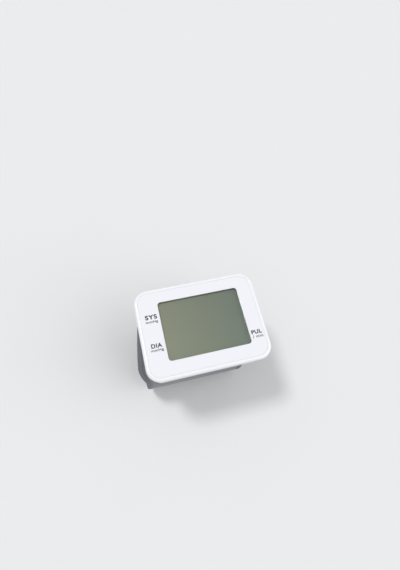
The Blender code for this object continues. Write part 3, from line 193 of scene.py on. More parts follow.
class Finishes(bpy.types.PropertyGroup):
    """Colours of the object's materials."""
    shell_white: colour("Shell white", (0.92, 0.918, 0.945), "Gloss plastic of the front shell")
    rear_white: colour("Rear white", (0.80, 0.80, 0.835), "Matt plastic of the rear shell")
    panel_white: colour("Panel white", (0.866, 0.860, 0.909), "Printed face panel")
    ink: colour("Ink", (0.005, 0.008, 0.019), "Slate ink of the labels")
    # The display's two colours are the ends of a painted reflection, which is lighter and warmer at
    # the left
    lcd_painted_reflection_left: colour("Display left", (0.174, 0.188, 0.118), "Unlit display at its left")
    lcd_painted_reflection_right: colour("Display right", (0.099, 0.133, 0.095), "Unlit display at its right")
    cloth: colour("Cloth", (0.204, 0.200, 0.227), "Slate grey cuff cloth")
    tape: colour("Tape", (0.186, 0.184, 0.213), "Edge tape")
    button: colour("Button", (0.150, 0.195, 0.275), "Slate blue buttons")


class StageSettings(bpy.types.PropertyGroup):
    """Light, floor and camera."""
    floor: colour("Floor", (0.80, 0.80, 0.80), "Pale floor")
    lens: FloatProperty(name="Lens", description="Focal length for a 36 mm wide frame",
                        default=24.259, unit="CAMERA")
    key_strength: share("Key strength", 1.14, "Strength of the main soft sun, from the upper left")
    fill_strength: share("Fill strength", 0.905, "Strength of the second soft sun")
    sky: share("Sky", 0.55, "Strength of the even light from all round")


# Modelling helpers

def deselect():
    """Closes edit mode, if a piece is in it, and selects nothing."""
    if bpy.context.object and bpy.context.object.mode != "OBJECT":
        bpy.ops.object.mode_set(mode="OBJECT")
    bpy.ops.object.select_all(action="DESELECT")


def activate(piece):
    """Makes a piece the active and only selected one."""
    deselect()
    piece.select_set(True)
    bpy.context.view_layer.objects.active = piece


def edit(piece, action="DESELECT"):
    """Opens a piece in edit mode, with nothing or everything selected."""
    activate(piece)
    bpy.ops.object.mode_set(mode="EDIT")
    bpy.ops.mesh.select_all(action=action)


def leave():
    """Closes edit mode."""
    bpy.ops.object.mode_set(mode="OBJECT")


def label(piece, name):
    """Names a piece and its mesh."""
    piece.name = name
    piece.data.name = name
    return piece


def settle():
    """Applies the active piece's place, turn and scale to its mesh."""
    bpy.ops.object.transform_apply(location=True, rotation=True, scale=True)
    return bpy.context.object


def twin(piece):
    """Copies a piece with its own mesh."""
    copy = piece.copy()
    copy.data = piece.data.copy()
    bpy.context.collection.objects.link(copy)
    return copy


def modify(piece, kind, **settings):
    """Adds a modifier to a piece, sets it and applies it."""
    activate(piece)
    change = piece.modifiers.new(kind.lower(), kind)
    for key, value in settings.items():
        setattr(change, key, value)
    bpy.ops.object.modifier_apply(modifier=change.name)


def pick(piece, kind, test):
    """In edit mode, selects the faces or edges that pass a test."""
    bpy.ops.mesh.select_all(action="DESELECT")
    bpy.ops.mesh.select_mode(type=kind)
    mesh = bmesh.from_edit_mesh(piece.data)
    for item in mesh.faces if kind == "FACE" else mesh.edges:
        if test(item):
            item.select_set(True)
    mesh.select_flush_mode()
    bmesh.update_edit_mesh(piece.data)


def near(value, goal, slack=0.02 * MM):
    """Whether two levels agree, but for rounding."""
    return abs(value - goal) < slack


def at_level(axis, level):
    """A test for edges whose ends both lie at one level of an axis."""
    return lambda e: all(near(vertex.co[axis], level) for vertex in e.verts)


def runs_along(axis):
    """A test for edges that run along an axis."""
    return lambda e: abs((e.verts[0].co - e.verts[1].co).normalized()[axis]) > SQUARE


def faces_along(axis, way=0):
    """A test for faces that face along an axis, or only up (1) or down (-1) it."""
    return lambda f: (f.normal[axis] * way if way else abs(f.normal[axis])) > SQUARE


def flat_at(level, way, closeness=SQUARE):
    """A test for faces whose centre is at a height, and that face up (1) or down (-1)."""
    return lambda f: near(f.calc_center_median().z, level) and f.normal.z * way > closeness


def bevel(piece, test, width, steps, clamp=False):
    """Rounds the edges of a piece that pass a test."""
    edit(piece)
    pick(piece, "EDGE", test)
    bpy.ops.mesh.bevel(offset=width, segments=steps, profile=0.5, affect="EDGES",
                       clamp_overlap=clamp)
    leave()


def push(x, y, z):
    """Extrudes the selected faces by a distance."""
    bpy.ops.mesh.extrude_region_move(TRANSFORM_OT_translate={"value": (x, y, z)})


def block(name, low, high, radius=0.0, axis="Z", steps=14):
    """A box whose edges along one axis are rounded, from a cube made to size and bevelled."""
    deselect()
    low, high = Vector(low), Vector(high)
    bpy.ops.mesh.primitive_cube_add(size=1.0, location=(low + high) / 2)
    bpy.context.object.scale = high - low
    piece = label(settle(), name)
    if radius > 0.0:
        bevel(piece, runs_along(AXES.index(axis)), radius, steps, clamp=True)
    return piece


def round_bar(name, centre, radius, low, high, axis="Z", steps=32, **settings):
    """A round bar between two levels of one axis."""
    deselect()
    spot = list(centre)
    spot.insert(AXES.index(axis), (low + high) / 2)
    turn = {"X": (0.0, math.pi / 2, 0.0), "Y": (math.pi / 2, 0.0, 0.0), "Z": (0.0, 0.0, 0.0)}[axis]
    bpy.ops.mesh.primitive_cylinder_add(vertices=steps, radius=radius, depth=high - low,
                                        location=spot, rotation=turn, **settings)
    return label(settle(), name)


def dissolve(piece, angle, merge=0.0):
    """Merges points that lie close, and takes out the edges between faces that lie flat."""
    edit(piece, "SELECT")
    if merge > 0.0:
        bpy.ops.mesh.remove_doubles(threshold=merge)
    bpy.ops.mesh.dissolve_limited(angle_limit=math.radians(angle))
    leave()


def soften(piece, width, segments=2):
    """Rounds a piece's sharp edges, once its slivers are gone."""
    dissolve(piece, 0.2, 0.02 * MM)
    modify(piece, "BEVEL", width=width, segments=segments, limit_method="ANGLE",
           angle_limit=SHARP_ANGLE, harden_normals=False)


def carve(piece, tool, operation="DIFFERENCE"):
    """Cuts another solid out of a piece, or joins it on, and removes it."""
    modify(piece, "BOOLEAN", operation=operation, solver="EXACT", object=tool)
    bpy.data.objects.remove(tool)


def join(pieces, name):
    """Joins pieces into the first one."""
    deselect()
    for piece in pieces:
        piece.select_set(True)
    bpy.context.view_layer.objects.active = pieces[0]
    bpy.ops.object.join()
    return label(bpy.context.object, name)


def close_seams(piece, reach):
    """Merges points that lie together, and turns all faces outwards."""
    edit(piece, "SELECT")
    if reach > 0.0:
        bpy.ops.mesh.remove_doubles(threshold=reach)
    bpy.ops.mesh.normals_make_consistent(inside=False)
    leave()


def smooth(piece, angle=CREASE_ANGLE):
    """Smooth shading across edges that are less sharp than an angle."""
    activate(piece)
    bpy.ops.object.shade_smooth_by_angle(angle=angle)
    deselect()


def even_shading(piece):
    """Smooth shading in which large flat faces stay flat."""
    smooth(piece)
    modify(piece, "WEIGHTED_NORMAL", keep_sharp=True)
    deselect()


def clad(piece, look):
    """Gives a piece one material."""
    piece.data.materials.clear()
    piece.data.materials.append(LOOKS[look])


def dress(piece, look, body, slot, *nodes):
    """Gives a finished piece its material and body, and hides the nodes that it stands for. A piece
    that is blended between two bodies has none of its own. The slot is not used."""
    clad(piece, look)
    if body:
        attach(piece, body)
    if nodes:
        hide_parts(*nodes)


def plan_centre(name):
    """Middle of a node's box, seen from above."""
    low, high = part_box(name)
    return (low.x + high.x) / 2, (low.y + high.y) / 2


# The cuff's loop

def ease(value, low, high):
    """0 below low, 1 above high, and a smooth rise between."""
    part = min(1.0, max(0.0, (value - low) / (high - low)))
    return part * part * (3 - 2 * part)


def ripple(first, second, third=0.0):
    """Smooth unevenness between -1 and 1, the same on each run."""
    return noise.noise(Vector((first, second, third)))


class Loop:
    """The closed cuff's outer surface: lengths run from its top, positive towards -Y."""

    def __init__(self, sizes):
        self.sizes = sizes
        shoulder = math.pi / 2 - sizes.top_sweep - sizes.side_sweep / 2
        base = math.pi / 2 - sizes.side_sweep / 2
        self.arcs = ((sizes.top_radius, sizes.top_sweep), (sizes.shoulder_radius, shoulder),
                     (sizes.side_radius, sizes.side_sweep), (sizes.base_radius, base))
        reach = sum(radius * sweep for radius, sweep in self.arcs)
        flat_half, self.height = self.walk(reach)[:2]
        self.length = 2 * (reach + flat_half)
        self.start = -sizes.upper_end
        self.end = self.length - sizes.upper_end - sizes.mouth
        self.flap_start = self.end + sizes.flap_gap
        self.flap_stop = self.length - sizes.flap_end

    def walk(self, length):
        """Distance out to the side and down, and the heading, at a length along half the loop."""
        across = down = heading = 0.0
        left = length
        for radius, sweep in self.arcs:
            turn = min(sweep, left / radius)
            across += radius * (math.sin(heading + turn) - math.sin(heading))
            down += radius * (math.cos(heading) - math.cos(heading + turn))
            heading += turn
            left -= radius * turn
            if turn < sweep:
                return across, down, heading
        return across - left, down, heading

    def from_top(self, s):
        """The same place as a length between minus and plus half the loop."""
        half = self.length / 2
        return (s + half) % self.length - half

    def place(self, s, x, depth):
        """Point at length s, at x, at a depth measured inwards from the outer surface."""
        wrapped = self.from_top(s)
        side = -1.0 if wrapped >= 0.0 else 1.0
        across, down, heading = self.walk(abs(wrapped))
        return Vector((x, side * (across - depth * math.sin(heading)),
                       self.height - down - depth * math.cos(heading)))

    def tightness(self, s):
        """How sharply the loop turns at s: 1 on the tightest arcs, 0 where it is flat."""
        step = 4 * MM
        before = self.walk(max(0.0, abs(self.from_top(s)) - step))[2]
        after = self.walk(abs(self.from_top(s)) + step)[2]
        return min(1.0, (after - before) / (2 * step) * self.sizes.base_radius)

    def centre(self, s):
        """X of the middle of the cuff, which winds askew."""
        return self.sizes.shift - self.sizes.skew * math.sin(2 * math.pi * s / self.length)

    def half_width(self, s):
        """Half the cuff's width, which narrows away from the housing."""
        reach = self.sizes.pad_reach
        wide, narrow = self.sizes.pad_half_width, self.sizes.band_half_width
        narrowed = ease(abs(self.from_top(s)), reach, reach + self.sizes.narrowing)
        return wide + (narrow - wide) * narrowed

    def edge(self, side, inset):
        """X of the left (-1) or right (1) edge as a function of s, drawn in square to it."""
        def line(s):
            """X of the edge at s, from the edge's own slope."""
            step = 0.3 * MM
            before = self.centre(s - step) + side * self.half_width(s - step)
            after = self.centre(s + step) + side * self.half_width(s + step)
            slope = (after - before) / (2 * step)
            x = self.centre(s) + side * self.half_width(s)
            return x - side * inset * math.sqrt(1.0 + slope * slope)
        return line

    def edges(self, inset):
        """Both edges of the cuff, drawn in."""
        return self.edge(-1, inset), self.edge(1, inset)

    def strip(self, half_width):
        """Both edges of a strip of even width that follows the cuff's centre line."""
        return (lambda s: self.centre(s) - half_width), (lambda s: self.centre(s) + half_width)


def row_lengths(start, end, corner, spacing, square_start=False):
    """Lengths of a band's cross rows, close together in its round corners."""
    steps = 8
    curve = [corner * (1 - math.cos(math.pi / 2 * k / steps)) for k in range(steps + 1)]
    first = start if square_start else start + corner
    count = max(1, round((end - corner - first) / spacing))
    straight = [first + (end - corner - first) * k / count for k in range(1, count)]
    opening = [start] if square_start else [start + part for part in curve]
    return opening + straight + [end - part for part in reversed(curve)]


def band_bounds(s, start, end, corner, edges):
    """Left and right edge of a band at s, drawn in at its round corners."""
    close = corner - min(corner, s - start, end - s)
    drawn_in = corner - math.sqrt(max(0.0, corner * corner - close * close))
    left, right = edges
    return left(s) + drawn_in, right(s) - drawn_in


def band_rows(start, end, corner, edges, spacing, square_start=False):
    """A band's cross rows, and its left and right edge at each."""
    rows = row_lengths(start, end, corner, spacing, square_start)
    first = start - corner if square_start else start
    return rows, [band_bounds(s, first, end, corner, edges) for s in rows]


def even_path(points, spacing, closed):
    """Points at even distances along a line of (s, x) points, each with its inward direction."""
    if closed:
        points = points + points[:1]
    reaches = [0.0]
    for before, after in zip(points, points[1:]):
        reaches.append(reaches[-1] + math.dist(before, after))
    count = round(reaches[-1] / spacing)
    marks = [reaches[-1] * k / count for k in range(count + 1)]
    path = []
    leg = 0
    for mark in marks:
        while leg < len(points) - 2 and reaches[leg + 1] < mark:
            leg += 1
        part = (mark - reaches[leg]) / (reaches[leg + 1] - reaches[leg])
        before, after = points[leg], points[leg + 1]
        path.append((before[0] + (after[0] - before[0]) * part,
                     before[1] + (after[1] - before[1]) * part))
    placed = []
    last = len(path) - 1
    for k, spot in enumerate(path):
        before = path[k - 1] if k > 0 else path[last - 1 if closed else 0]
        after = path[k + 1] if k < last else path[1 if closed else last]
        along = Vector((after[0] - before[0], after[1] - before[1])).normalized()
        placed.append((marks[k], spot[0], spot[1], along.y, -along.x))
    return placed


def outline(rows, bounds):
    """The closed outline of a band: up its right edge and back down its left one."""
    right = [(s, high) for s, (low, high) in zip(rows, bounds)]
    left = [(s, low) for s, (low, high) in zip(rows, bounds)]
    return right + left[::-1]


def lay_grid(name, along, across, spot):
    """A grid primitive whose points are laid one by one; its UV map is in metres."""
    deselect()
    bpy.ops.mesh.primitive_grid_add(x_subdivisions=along - 1, y_subdivisions=across - 1, size=1.0)
    piece = label(bpy.context.object, name)
    marks = []
    for vertex in piece.data.vertices:
        step = round((vertex.co.x + 0.5) * (along - 1))
        turn = round((vertex.co.y + 0.5) * (across - 1))
        vertex.co, mark = spot(step, turn)
        marks.append(mark)
    layer = piece.data.uv_layers[0].data
    for corner in piece.data.loops:
        layer[corner.index].uv = marks[corner.vertex_index]
    return piece


def thicken(piece, thickness, closed=False):
    """Gives a laid sheet its thickness, half to each side, with its faces turned outwards."""
    close_seams(piece, 0.005 * MM if closed else 0.0)
    modify(piece, "SOLIDIFY", thickness=thickness, offset=0.0, use_even_offset=True)
    close_seams(piece, 0.0)


def lay_band(name, loop, rows, bounds, columns, depth, thickness):
    """A cloth band on the loop: depth(s, x, distance from the band's edge) places its middle."""
    start, end = rows[0], rows[-1]

    def spot(step, turn):
        """A point of the band's middle, and its place on the cloth."""
        s = rows[step]
        low, high = bounds[step]
        x = low + (high - low) * turn / (columns - 1)
        distance = min(x - low, high - x, s - start, end - s)
        return loop.place(s, x, depth(s, x, distance)), (s, x)
    piece = lay_grid(name, len(rows), columns, spot)
    thicken(piece, thickness)
    return piece


def lay_tape(name, loop, path, profile, thickness, closed):
    """A folded tape along a path; profile(s, along) gives (distance in from the edge, depth)."""
    section = profile(path[0][1], 0.0)
    reach = [0.0]
    for before, after in zip(section, section[1:]):
        reach.append(reach[-1] + math.dist(before, after))

    def spot(step, turn):
        """A point of the tape's middle, and its place on the tape."""
        along, s, x, in_s, in_x = path[step]
        distance, depth = profile(s, along)[turn]
        return loop.place(s + in_s * distance, x + in_x * distance, depth), (along, reach[turn])
    piece = lay_grid(name, len(path), len(section), spot)
    thicken(piece, thickness, closed)
    return piece


def stamp(seed, shape, frames):
    """Copies a seed to each frame (foot, ahead, side, up), its points laid in that frame."""
    made = []
    for foot, ahead, side, up in frames:
        copy = twin(seed)
        for vertex, point in zip(copy.data.vertices, shape):
            vertex.co = foot + ahead * point.x + side * point.y + up * point.z
        made.append(copy)
    bpy.data.objects.remove(seed)
    return made


def stitch_row(name, loop, path, distance, depth, sizes):
    """A row of sewn thread along a path, from one stitch whose ends dip into the cloth."""
    length, width = sizes.stitch_length, sizes.stitch_width
    half = Vector((length / 2, width / 2, width / 2))
    seed = block("stitch_seed", -half, half)
    bevel(seed, runs_along(0), width * 0.3, 1)
    edit(seed)
    pick(seed, "FACE", faces_along(0))
    bpy.ops.mesh.inset(thickness=width * 0.25, depth=width * 0.3)
    leave()
    shape = [vertex.co.copy() for vertex in seed.data.vertices]
    for point in shape:
        sunk = 1.0 - (2 * point.x / length) ** 2
        point.z += width * 0.45 * (sunk - 0.5)

    def sewn(spot, lift=0.0):
        """The thread's place beside a point of the path."""
        s, x, in_s, in_x = spot[1:]
        return loop.place(s + in_s * distance, x + in_x * distance, depth(s) - lift)
    count = round(path[-1][0] / sizes.stitch_pitch)
    frames = []
    for k in range(count):
        goal = (k + 0.5) * path[-1][0] / count
        spot = min(range(1, len(path) - 1), key=lambda i: abs(path[i][0] - goal))
        foot = sewn(path[spot])
        ahead = (sewn(path[spot + 1]) - sewn(path[spot - 1])).normalized()
        up = (sewn(path[spot], MM) - foot).normalized()
        frames.append((foot, ahead, up.cross(ahead).normalized(), up))
    return join(stamp(seed, shape, frames), name)


# Shader helpers

def feed(tree, socket, value):
    """Links a socket to the one given, or sets it to a value."""
    if isinstance(value, bpy.types.NodeSocket):
        tree.links.new(value, socket)
    elif value is not None:
        socket.default_value = value


def link_all(tree, node, results):
    """Links a node's named inputs."""
    for name, value in results.items():
        tree.links.new(value, node.inputs[name])


def wire(tree, kind, inputs=None, **settings):
    """Adds a node, sets its options, and sets or links its inputs."""
    made = tree.nodes.new(kind)
    for key, value in settings.items():
        setattr(made, key, value)
    for key, value in (inputs or {}).items():
        feed(tree, made.inputs[key], value)
    return made


def maths(tree, operation, first, second=None):
    """The result of a sum on numbers or sockets."""
    return wire(tree, "ShaderNodeMath", {0: first, 1: second}, operation=operation).outputs[0]


def blend_colours(tree, amount, first, second, kind="MIX"):
    """One colour mixed with another, or multiplied by it."""
    return wire(tree, "ShaderNodeMix", {0: amount, 6: first, 7: second}, data_type="RGBA",
                blend_type=kind).outputs[2]


def object_place(tree):
    """A point's place on its own piece."""
    return tree.nodes.new("ShaderNodeTexCoord").outputs["Object"]


def speckle(tree, place, scale, detail, roughness=0.5):
    """Even noise around a half."""
    return wire(tree, "ShaderNodeTexNoise", {"Vector": place, "Scale": scale, "Detail": detail,
                                             "Roughness": roughness}).outputs["Fac"]


def ranged(tree, value, first, last, low, high, **settings):
    """A value that goes from low to high as another goes from first to last."""
    return wire(tree, "ShaderNodeMapRange",
                {"Value": value, "From Min": first, "From Max": last, "To Min": low,
                 "To Max": high}, **settings).outputs["Result"]


def grey(tree, level):
    """A grey of a given level."""
    return wire(tree, "ShaderNodeCombineColor",
                {"Red": level, "Green": level, "Blue": level}).outputs["Color"]


def uneven(tree, given, value):
    """The group's roughness, moved up and down by a noise as far as its spread."""
    off = maths(tree, "MULTIPLY", maths(tree, "SUBTRACT", value, 0.5), given.outputs["Spread"])
    return maths(tree, "ADD", given.outputs["Roughness"], off)


def half_turns(tree, given, along):
    """Sine of a length that turns once in two pitches."""
    turns = maths(tree, "DIVIDE", along, given.outputs["Pitch"])
    return maths(tree, "SINE", maths(tree, "MULTIPLY", turns, math.pi))


def shader_group(name, inputs, outputs):
    """An empty node group with named sockets; gives its tree, input node and output node."""
    tree = bpy.data.node_groups.new(name, "ShaderNodeTree")
    kinds = {"value": "NodeSocketFloat", "colour": "NodeSocketColor", "vector": "NodeSocketVector"}
    for title, kind, default in inputs:
        socket = tree.interface.new_socket(name=title, in_out="INPUT", socket_type=kinds[kind])
        socket.default_value = default
    for title, kind in outputs:
        tree.interface.new_socket(name=title, in_out="OUTPUT", socket_type=kinds[kind])
    return tree, tree.nodes.new("NodeGroupInput"), tree.nodes.new("NodeGroupOutput")


def make_grain_group():
    """Fine moulded grain: a height for bump and an uneven roughness."""
    tree, given, out = shader_group(
        "moulded_grain",
        [("Grain Scale", "value", 3000.0), ("Patch Scale", "value", 90.0),
         ("Roughness", "value", 0.4), ("Spread", "value", 0.08)],
        [("Height", "value"), ("Roughness", "value")])
    place = object_place(tree)
    fine = speckle(tree, place, given.outputs["Grain Scale"], 3.0, 0.6)
    patches = speckle(tree, place, given.outputs["Patch Scale"], 2.0)
    link_all(tree, out, {"Height": fine, "Roughness": uneven(tree, given, patches)})
    return tree


def make_tone_group():
    """Slow colour variation, such as handling marks and uneven dye."""
    tree, given, out = shader_group(
        "uneven_tone",
        [("Colour", "colour", (1, 1, 1, 1)), ("Other Colour", "colour", (1, 1, 1, 1)),
         ("Amount", "value", 0.2), ("Patch Scale", "value", 60.0)],
        [("Colour", "colour")])
    patches = speckle(tree, object_place(tree), given.outputs["Patch Scale"], 4.0, 0.55)
    share_of_other = ranged(tree, patches, 0.3, 0.75, 0.0, 1.0, interpolation_type="SMOOTHSTEP")
    amount = maths(tree, "MULTIPLY", share_of_other, given.outputs["Amount"])
    link_all(tree, out, {"Colour": blend_colours(tree, amount, given.outputs["Colour"],
                                                 given.outputs["Other Colour"])})
    return tree


def make_weave_group():
    """Plain weave on a piece's own UV map, in metres: colour, height and roughness."""
    tree, given, out = shader_group(
        "plain_weave",
        [("Pitch", "value", 0.00045), ("Warp Colour", "colour", (0.2, 0.2, 0.2, 1)),
         ("Weft Colour", "colour", (0.1, 0.1, 0.1, 1)), ("Fleck", "value", 0.35),
         ("Roughness", "value", 0.9)],
        [("Colour", "colour"), ("Height", "value"), ("Roughness", "value")])
    place = tree.nodes.new("ShaderNodeUVMap").outputs["UV"]
    sides = wire(tree, "ShaderNodeSeparateXYZ", {"Vector": place})
    waves = [half_turns(tree, given, sides.outputs[axis]) for axis in ("X", "Y")]
    lifted = maths(tree, "ADD", maths(tree, "MULTIPLY", maths(tree, "MULTIPLY", *waves), 0.5), 0.5)
    fuzz = speckle(tree, place, 2600.0, 3.0, 0.7)
    melange = speckle(tree, place, 700.0, 4.0, 0.65)
    base = blend_colours(tree, lifted, given.outputs["Weft Colour"], given.outputs["Warp Colour"])
    tint = grey(tree, ranged(tree, melange, 0.3, 0.7, 0.78, 1.22))
    flecked = blend_colours(tree, given.outputs["Fleck"], base,
                            blend_colours(tree, 1.0, base, tint, "MULTIPLY"))
    duller = maths(tree, "SUBTRACT", given.outputs["Roughness"],
                   maths(tree, "MULTIPLY", lifted, 0.06))
    link_all(tree, out, {
        "Colour": flecked, "Roughness": duller,
        "Height": maths(tree, "ADD", lifted, maths(tree, "MULTIPLY", fuzz, 0.6))})
    return tree


def make_rib_group():
    """Ribs across a tape, on its own UV map, in metres, with painted shade that darkens the valleys
    between the ribs.
    """
    tree, given, out = shader_group(
        "tape_ribs",
        [("Pitch", "value", 0.0006), ("Colour", "colour", (0.05, 0.05, 0.06, 1)),
         ("Contrast", "value", 0.35)],
        [("Colour", "colour"), ("Height", "value")])
    place = tree.nodes.new("ShaderNodeUVMap").outputs["UV"]
    along = wire(tree, "ShaderNodeSeparateXYZ", {"Vector": place}).outputs["X"]
    rib = maths(tree, "ABSOLUTE", half_turns(tree, given, along))
    fuzz = speckle(tree, place, 2400.0, 3.0)
    # Painted shade: the colour darkens in the valleys between the ribs, as far as the Contrast
    # input sets
    painted_valley_shade = blend_colours(tree, 1.0, given.outputs["Colour"], (0.45, 0.45, 0.45, 1), "MULTIPLY")
    amount = maths(tree, "MULTIPLY", maths(tree, "SUBTRACT", 1.0, rib), given.outputs["Contrast"])
    link_all(tree, out, {"Colour": blend_colours(tree, amount, given.outputs["Colour"], painted_valley_shade),
                         "Height": maths(tree, "ADD", rib, maths(tree, "MULTIPLY", fuzz, 0.4))})
    return tree


def make_brushed_group():
    """Fine scratches along one axis, for metal."""
    tree, given, out = shader_group(
        "brushed_lines",
        [("Stretch", "vector", (1.0, 1.0, 1.0)), ("Roughness", "value", 0.3),
         ("Spread", "value", 0.2)],
        [("Height", "value"), ("Roughness", "value")])
    scaled = wire(tree, "ShaderNodeVectorMath",
                  {0: object_place(tree), 1: given.outputs["Stretch"]},
                  operation="MULTIPLY").outputs["Vector"]
    lines = speckle(tree, scaled, 900.0, 3.0)
    link_all(tree, out, {"Height": lines, "Roughness": uneven(tree, given, lines)})
    return tree


def new_look(name, **constants):
    """A material with its Principled shader; constants go on the shader's own sockets."""
    made = bpy.data.materials.new(name + "_finish")
    made.use_nodes = True
    shader = made.node_tree.nodes["Principled BSDF"]
    for key, value in constants.items():
        shader.inputs[key.replace("_", " ")].default_value = value
    LOOKS[name] = made
    return made.node_tree, shader


def use_group(tree, name, **inputs):
    """A node that uses one of the shader groups; its inputs are named with underscores."""
    return wire(tree, "ShaderNodeGroup",
                {key.replace("_", " "): value for key, value in inputs.items()},
                node_tree=GROUPS[name])


def bump(tree, shader, height, strength, distance):
    """Bumps the shader's surface by a height."""
    made = wire(tree, "ShaderNodeBump",
                {"Height": height, "Strength": strength, "Distance": distance})
    link_all(tree, shader, {"Normal": made.outputs["Normal"]})


def opaque(rgb, scale=1.0):
    """A colour made darker or lighter, with full opacity."""
    return (*[min(1.0, channel * scale) for channel in rgb], 1.0)


def plastic(name, rgb, roughness, grain=3000.0, depth=0.000004, other=0.96, amount=0.5,
            patch=55.0, spread=0.08, **constants):
    """Moulded plastic with grain, uneven gloss and slight handling marks."""
    tree, shader = new_look(name, **constants)
    grained = use_group(tree, "grain", Grain_Scale=grain, Roughness=roughness, Spread=spread)
    toned = use_group(tree, "tone", Colour=opaque(rgb), Other_Colour=opaque(rgb, other),
                      Amount=amount, Patch_Scale=patch)
    link_all(tree, shader, {"Base Color": toned.outputs["Colour"],
                            "Roughness": grained.outputs["Roughness"]})
    bump(tree, shader, grained.outputs["Height"], 0.5, depth)


def metal(name, rgb, roughness):
    """Plated or bare metal with fine lines."""
    tree, shader = new_look(name, Metallic=1.0)
    lined = use_group(tree, "brushed", Stretch=(1.0, 1.0, 1.0), Roughness=roughness, Spread=0.2)
    toned = use_group(tree, "tone", Colour=opaque(rgb), Other_Colour=opaque(rgb, 0.75),
                      Amount=0.5, Patch_Scale=220.0)
    link_all(tree, shader, {"Base Color": toned.outputs["Colour"],
                            "Roughness": lined.outputs["Roughness"]})
    bump(tree, shader, lined.outputs["Height"], 0.4, 0.000004)


def woven(name, rgb, pitch, contrast, fleck, sheen):
    """Woven cloth on the piece's own UV map."""
    tree, shader = new_look(name, Sheen_Weight=sheen, Sheen_Roughness=0.5)
    weave = use_group(tree, "weave", Pitch=pitch, Warp_Colour=opaque(rgb, 1.0 + contrast),
                      Weft_Colour=opaque(rgb, 1.0 - contrast), Fleck=fleck)
    toned = use_group(tree, "tone", Colour=weave.outputs["Colour"], Other_Colour=opaque(rgb, 0.8),
                      Amount=0.35, Patch_Scale=45.0)
    link_all(tree, shader, {"Base Color": toned.outputs["Colour"],
                            "Roughness": weave.outputs["Roughness"]})
    bump(tree, shader, weave.outputs["Height"], 0.7, pitch * 0.25)


def ribbed(name, rgb, pitch):
    """Ribbed tape or twisted thread on the piece's own UV map."""
    tree, shader = new_look(name, Roughness=0.85, Sheen_Weight=0.15)
    ribs = use_group(tree, "ribs", Pitch=pitch, Colour=opaque(rgb))
    link_all(tree, shader, {"Base Color": ribs.outputs["Colour"]})
    bump(tree, shader, ribs.outputs["Height"], 0.7, pitch * 0.3)


def make_display_look(finishes):
    """Unlit display: a green grey with a painted reflection that makes it lighter and warmer at its
    left and lighter towards its bottom, under a faint mottle.
    """
    tree, shader = new_look("display_glass", Roughness=0.25)
    place = wire(tree, "ShaderNodeSeparateXYZ", {"Vector": object_place(tree)})
    # Painted reflection: the colour blends from the lighter left to the darker right, and is
    # multiplied lighter towards the bottom and darker towards the top
    along = ranged(tree, place.outputs["X"], LCD_LOW.x, LCD_HIGH.x, 0.0, 1.0)
    up = ranged(tree, place.outputs["Y"], LCD_LOW.y, LCD_HIGH.y, 1.06, 0.91)
    painted_reflection_sweep = blend_colours(tree, along, opaque(finishes.lcd_painted_reflection_left), opaque(finishes.lcd_painted_reflection_right))
    with_painted_reflection = blend_colours(tree, 1.0, painted_reflection_sweep, grey(tree, up), "MULTIPLY")
    mottled = use_group(tree, "tone", Colour=with_painted_reflection, Other_Colour=opaque(finishes.lcd_painted_reflection_right),
                        Amount=0.06, Patch_Scale=120.0)
    link_all(tree, shader, {"Base Color": mottled.outputs["Colour"]})


def make_lens_look():
    """Clear lens: glass to the eye, and open to the light that falls through it."""
    tree, shader = new_look("clear_lens", Roughness=0.03, IOR=1.46, Transmission_Weight=1.0,
                            Base_Color=(0.97, 0.985, 0.97, 1.0))
    rays = tree.nodes.new("ShaderNodeLightPath")
    through = maths(tree, "MAXIMUM", rays.outputs["Is Shadow Ray"], rays.outputs["Is Diffuse Ray"])
    clear = tree.nodes.new("ShaderNodeBsdfTransparent")
    mixed = wire(tree, "ShaderNodeMixShader",
                 {0: through, 1: shader.outputs[0], 2: clear.outputs[0]})
    link_all(tree, tree.nodes["Material Output"], {"Surface": mixed.outputs[0]})


